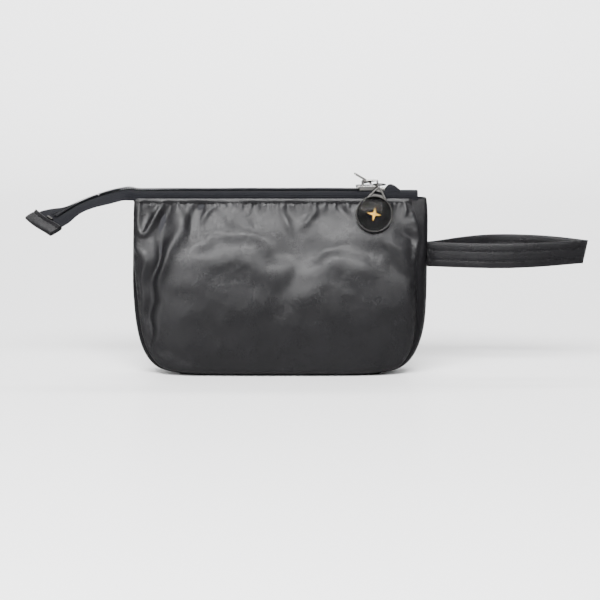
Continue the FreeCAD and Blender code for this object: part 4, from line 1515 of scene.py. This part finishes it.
class BAG_OT_metalwork(bpy.types.Operator):
    """Slider, pull tab, ring, charm and stops, and the tape ends folded back beside the stops."""
    bl_idname = "makeup_bag.metalwork"
    bl_label = "Metalwork"

    def execute(self, context):
        nickel = metal_finish("Bright nickel", colours().nickel, rough=0.16)
        gunmetal = metal_finish("Gunmetal", shade(colours().nickel, 0.07), rough=0.3)
        for node, width in (("slider_body", 0.5), ("slider_crown", 0.45), ("pull_tab", 0.22),
                            ("front_top_stop", 0.35)):
            softened(node, nickel, width)
        black_nickel = metal_finish("Black nickel", shade(colours().nickel, 0.12), rough=0.3)
        softened("bottom_stop", black_nickel, 0.35)
        self.dress("lock_spring", nickel)
        self.dress("charm_ring", gunmetal)
        self.dress("charm_motif", metal_finish("Gold foil", colours().gold, rough=0.42))
        face = CHARM_FACE - 0.05
        plate = np.array([(0.01, 0.52), (face, 0.52), (face, 0.9), (0.01, 0.9)])
        disc = turned("charm_insert_enamel", plate, enamel_finish(), "charm_insert")
        arc = np.linspace(1, 0, 30)[:, None]
        cap = np.hstack([face * arc + 0.01, 2.0 + 1.3 * (1 - arc ** 2)])
        lens = np.concatenate([[(0.01, 0.86), (face, 0.86)], cap])
        dome = turned("charm_dome_resin", lens, resin_finish(), "charm_dome")
        rear_stop(nickel)
        charm_cup(gunmetal)
        tape_folds()
        return {"FINISHED"}

    def dress(self, node, material):
        """Gives a frame node its finish, and leaves its shape."""
        piece = frame["nodes"][node]
        piece.data.materials.clear()
        piece.data.materials.append(material)


# ---- stage --------------------------------------------------------------------------------------
class BAG_OT_stage(bpy.types.Operator):
    """Pale floor, soft studio lights and the camera."""
    bl_idname = "makeup_bag.stage"
    bl_label = "Stage"

    def execute(self, context):
        self.sweep()
        self.light("key_softbox", (-0.12, -1.08, 1.14), (0.0, 0, 0.08), 1.3, 0.5, 86)
        self.light("left_softbox", (-1.0, -0.98, 0.5), (0.0, 0, 0.07), 0.3, 0.8, 15)
        self.light("right_softbox", (0.86, -1.15, 0.62), (0.0, 0, 0.07), 0.22, 0.5, 3.5)
        self.light("top_softbox", (0.1, 0.5, 1.5), (0.0, 0.1, 0.0), 1.2, 0.8, 7)
        self.light("backdrop_light", (0.0, 1.0, 1.7), (0.0, 2.4, 0.1), 2.4, 0.8, 110)
        world = bpy.data.worlds.new("Studio")
        world.use_nodes = True
        background = world.node_tree.nodes["Background"]
        background.inputs["Color"].default_value = (0.93, 0.94, 0.96, 1)
        background.inputs["Strength"].default_value = 0.12
        context.scene.world = world
        self.camera(context)
        return {"FINISHED"}

    def sweep(self):
        """White paper: flat under the bag, then curving up behind it through a quarter circle."""
        turn = np.linspace(0, math.pi / 2, 24)
        radius, start = 1500.0, 900.0
        y = np.concatenate([[-6000.0], start + radius * np.sin(turn), [start + radius]])
        z = np.concatenate([[0.0], radius * (1 - np.cos(turn)), [4000.0]])
        x = np.array([-6000.0, 6000.0])
        points = np.stack(np.broadcast_arrays(x[None, :], y[:, None], z[:, None]), axis=-1)
        return new_object("studio_paper", points, grid_quads(len(y), 2), self.paper())

    def paper(self):
        """White paper, darker to reflected rays so that it doesn't wash out the dark leather's gloss."""
        material, tree, shader = new_material("Studio paper")
        place = tree.nodes.new("ShaderNodeTexCoord").outputs["Object"]
        cloud = joined(tree, "ShaderNodeTexNoise", Vector=place, Scale=3.0, Detail=2.0)
        white = two_tones(tree, cloud.outputs["Fac"], (0.91, 0.91, 0.92), (0.94, 0.94, 0.94))
        kind = tree.nodes.new("ShaderNodeLightPath")
        seen = two_tones(tree, kind.outputs["Is Glossy Ray"], white, (0.22, 0.22, 0.22))
        tree.links.new(seen, shader.inputs["Base Color"])
        shader.inputs["Roughness"].default_value = 0.3
        shader.inputs["Specular IOR Level"].default_value = 0.35
        return material

    def light(self, name, place, target, width, height, power):
        """A rectangular softbox, in metres and watts, turned to its target."""
        data = bpy.data.lights.new(name, "AREA")
        data.shape = "RECTANGLE"
        data.size = width
        data.size_y = height
        data.energy = power
        lamp = bpy.data.objects.new(name, data)
        bpy.context.scene.collection.objects.link(lamp)
        lamp.location = place
        aim(lamp, place, target)

    def camera(self, context):
        """A long lens a little above the bag, whose view is a given width at the bag."""
        elevation, distance, seen_width = math.radians(9.0), 1.8, 0.390
        data = bpy.data.cameras.new("studio_camera")
        data.sensor_width = 36.0
        data.lens = 36.0 * distance / seen_width
        data.clip_end = 100.0
        camera = bpy.data.objects.new("studio_camera", data)
        context.scene.collection.objects.link(camera)
        target = (0.013, 0.0, 0.0469)
        place = (target[0], -distance * math.cos(elevation), target[2] + distance * math.sin(elevation))
        camera.location = place
        aim(camera, place, target)
        context.scene.camera = camera


def aim(thing, place, target):
    """Turns a lamp or camera to look from its place at a target."""
    direction = Vector(target) - Vector(place)
    thing.rotation_euler = direction.to_track_quat("-Z", "Y").to_euler()


OPERATORS = (BAG_OT_front_panel, BAG_OT_back_panel, BAG_OT_gussets, BAG_OT_base, BAG_OT_lining,
             BAG_OT_zip, BAG_OT_top_stitching, BAG_OT_tail, BAG_OT_end_tab, BAG_OT_strap,
             BAG_OT_metalwork, BAG_OT_stage)


class BAG_PT_panel(bpy.types.Panel):
    """Makeup bag: sizes, colours and the steps that build it."""
    bl_idname = "BAG_PT_panel"
    bl_label = "Makeup bag"
    bl_space_type = "VIEW_3D"
    bl_region_type = "UI"
    bl_category = "Makeup bag"

    def draw(self, context):
        layout = self.layout
        for group in (sizes(), colours()):
            for name in group.bl_rna.properties.keys():
                if name not in ("rna_type", "name"):
                    layout.prop(group, name)
        for operator in OPERATORS:
            layout.operator(operator.bl_idname)


CLASSES = (BagSizes, BagColours, *OPERATORS, BAG_PT_panel)


def register():
    for cls in CLASSES:
        bpy.utils.register_class(cls)
    bpy.types.Scene.makeup_bag_sizes = PointerProperty(type=BagSizes)
    bpy.types.Scene.makeup_bag_colours = PointerProperty(type=BagColours)


def unregister():
    del bpy.types.Scene.makeup_bag_colours
    del bpy.types.Scene.makeup_bag_sizes
    for cls in reversed(CLASSES):
        bpy.utils.unregister_class(cls)


def main():
    register()
    for operator in OPERATORS:
        group, name = operator.bl_idname.split(".")
        getattr(getattr(bpy.ops, group), name)()


if __name__ == "__main__":
    main()
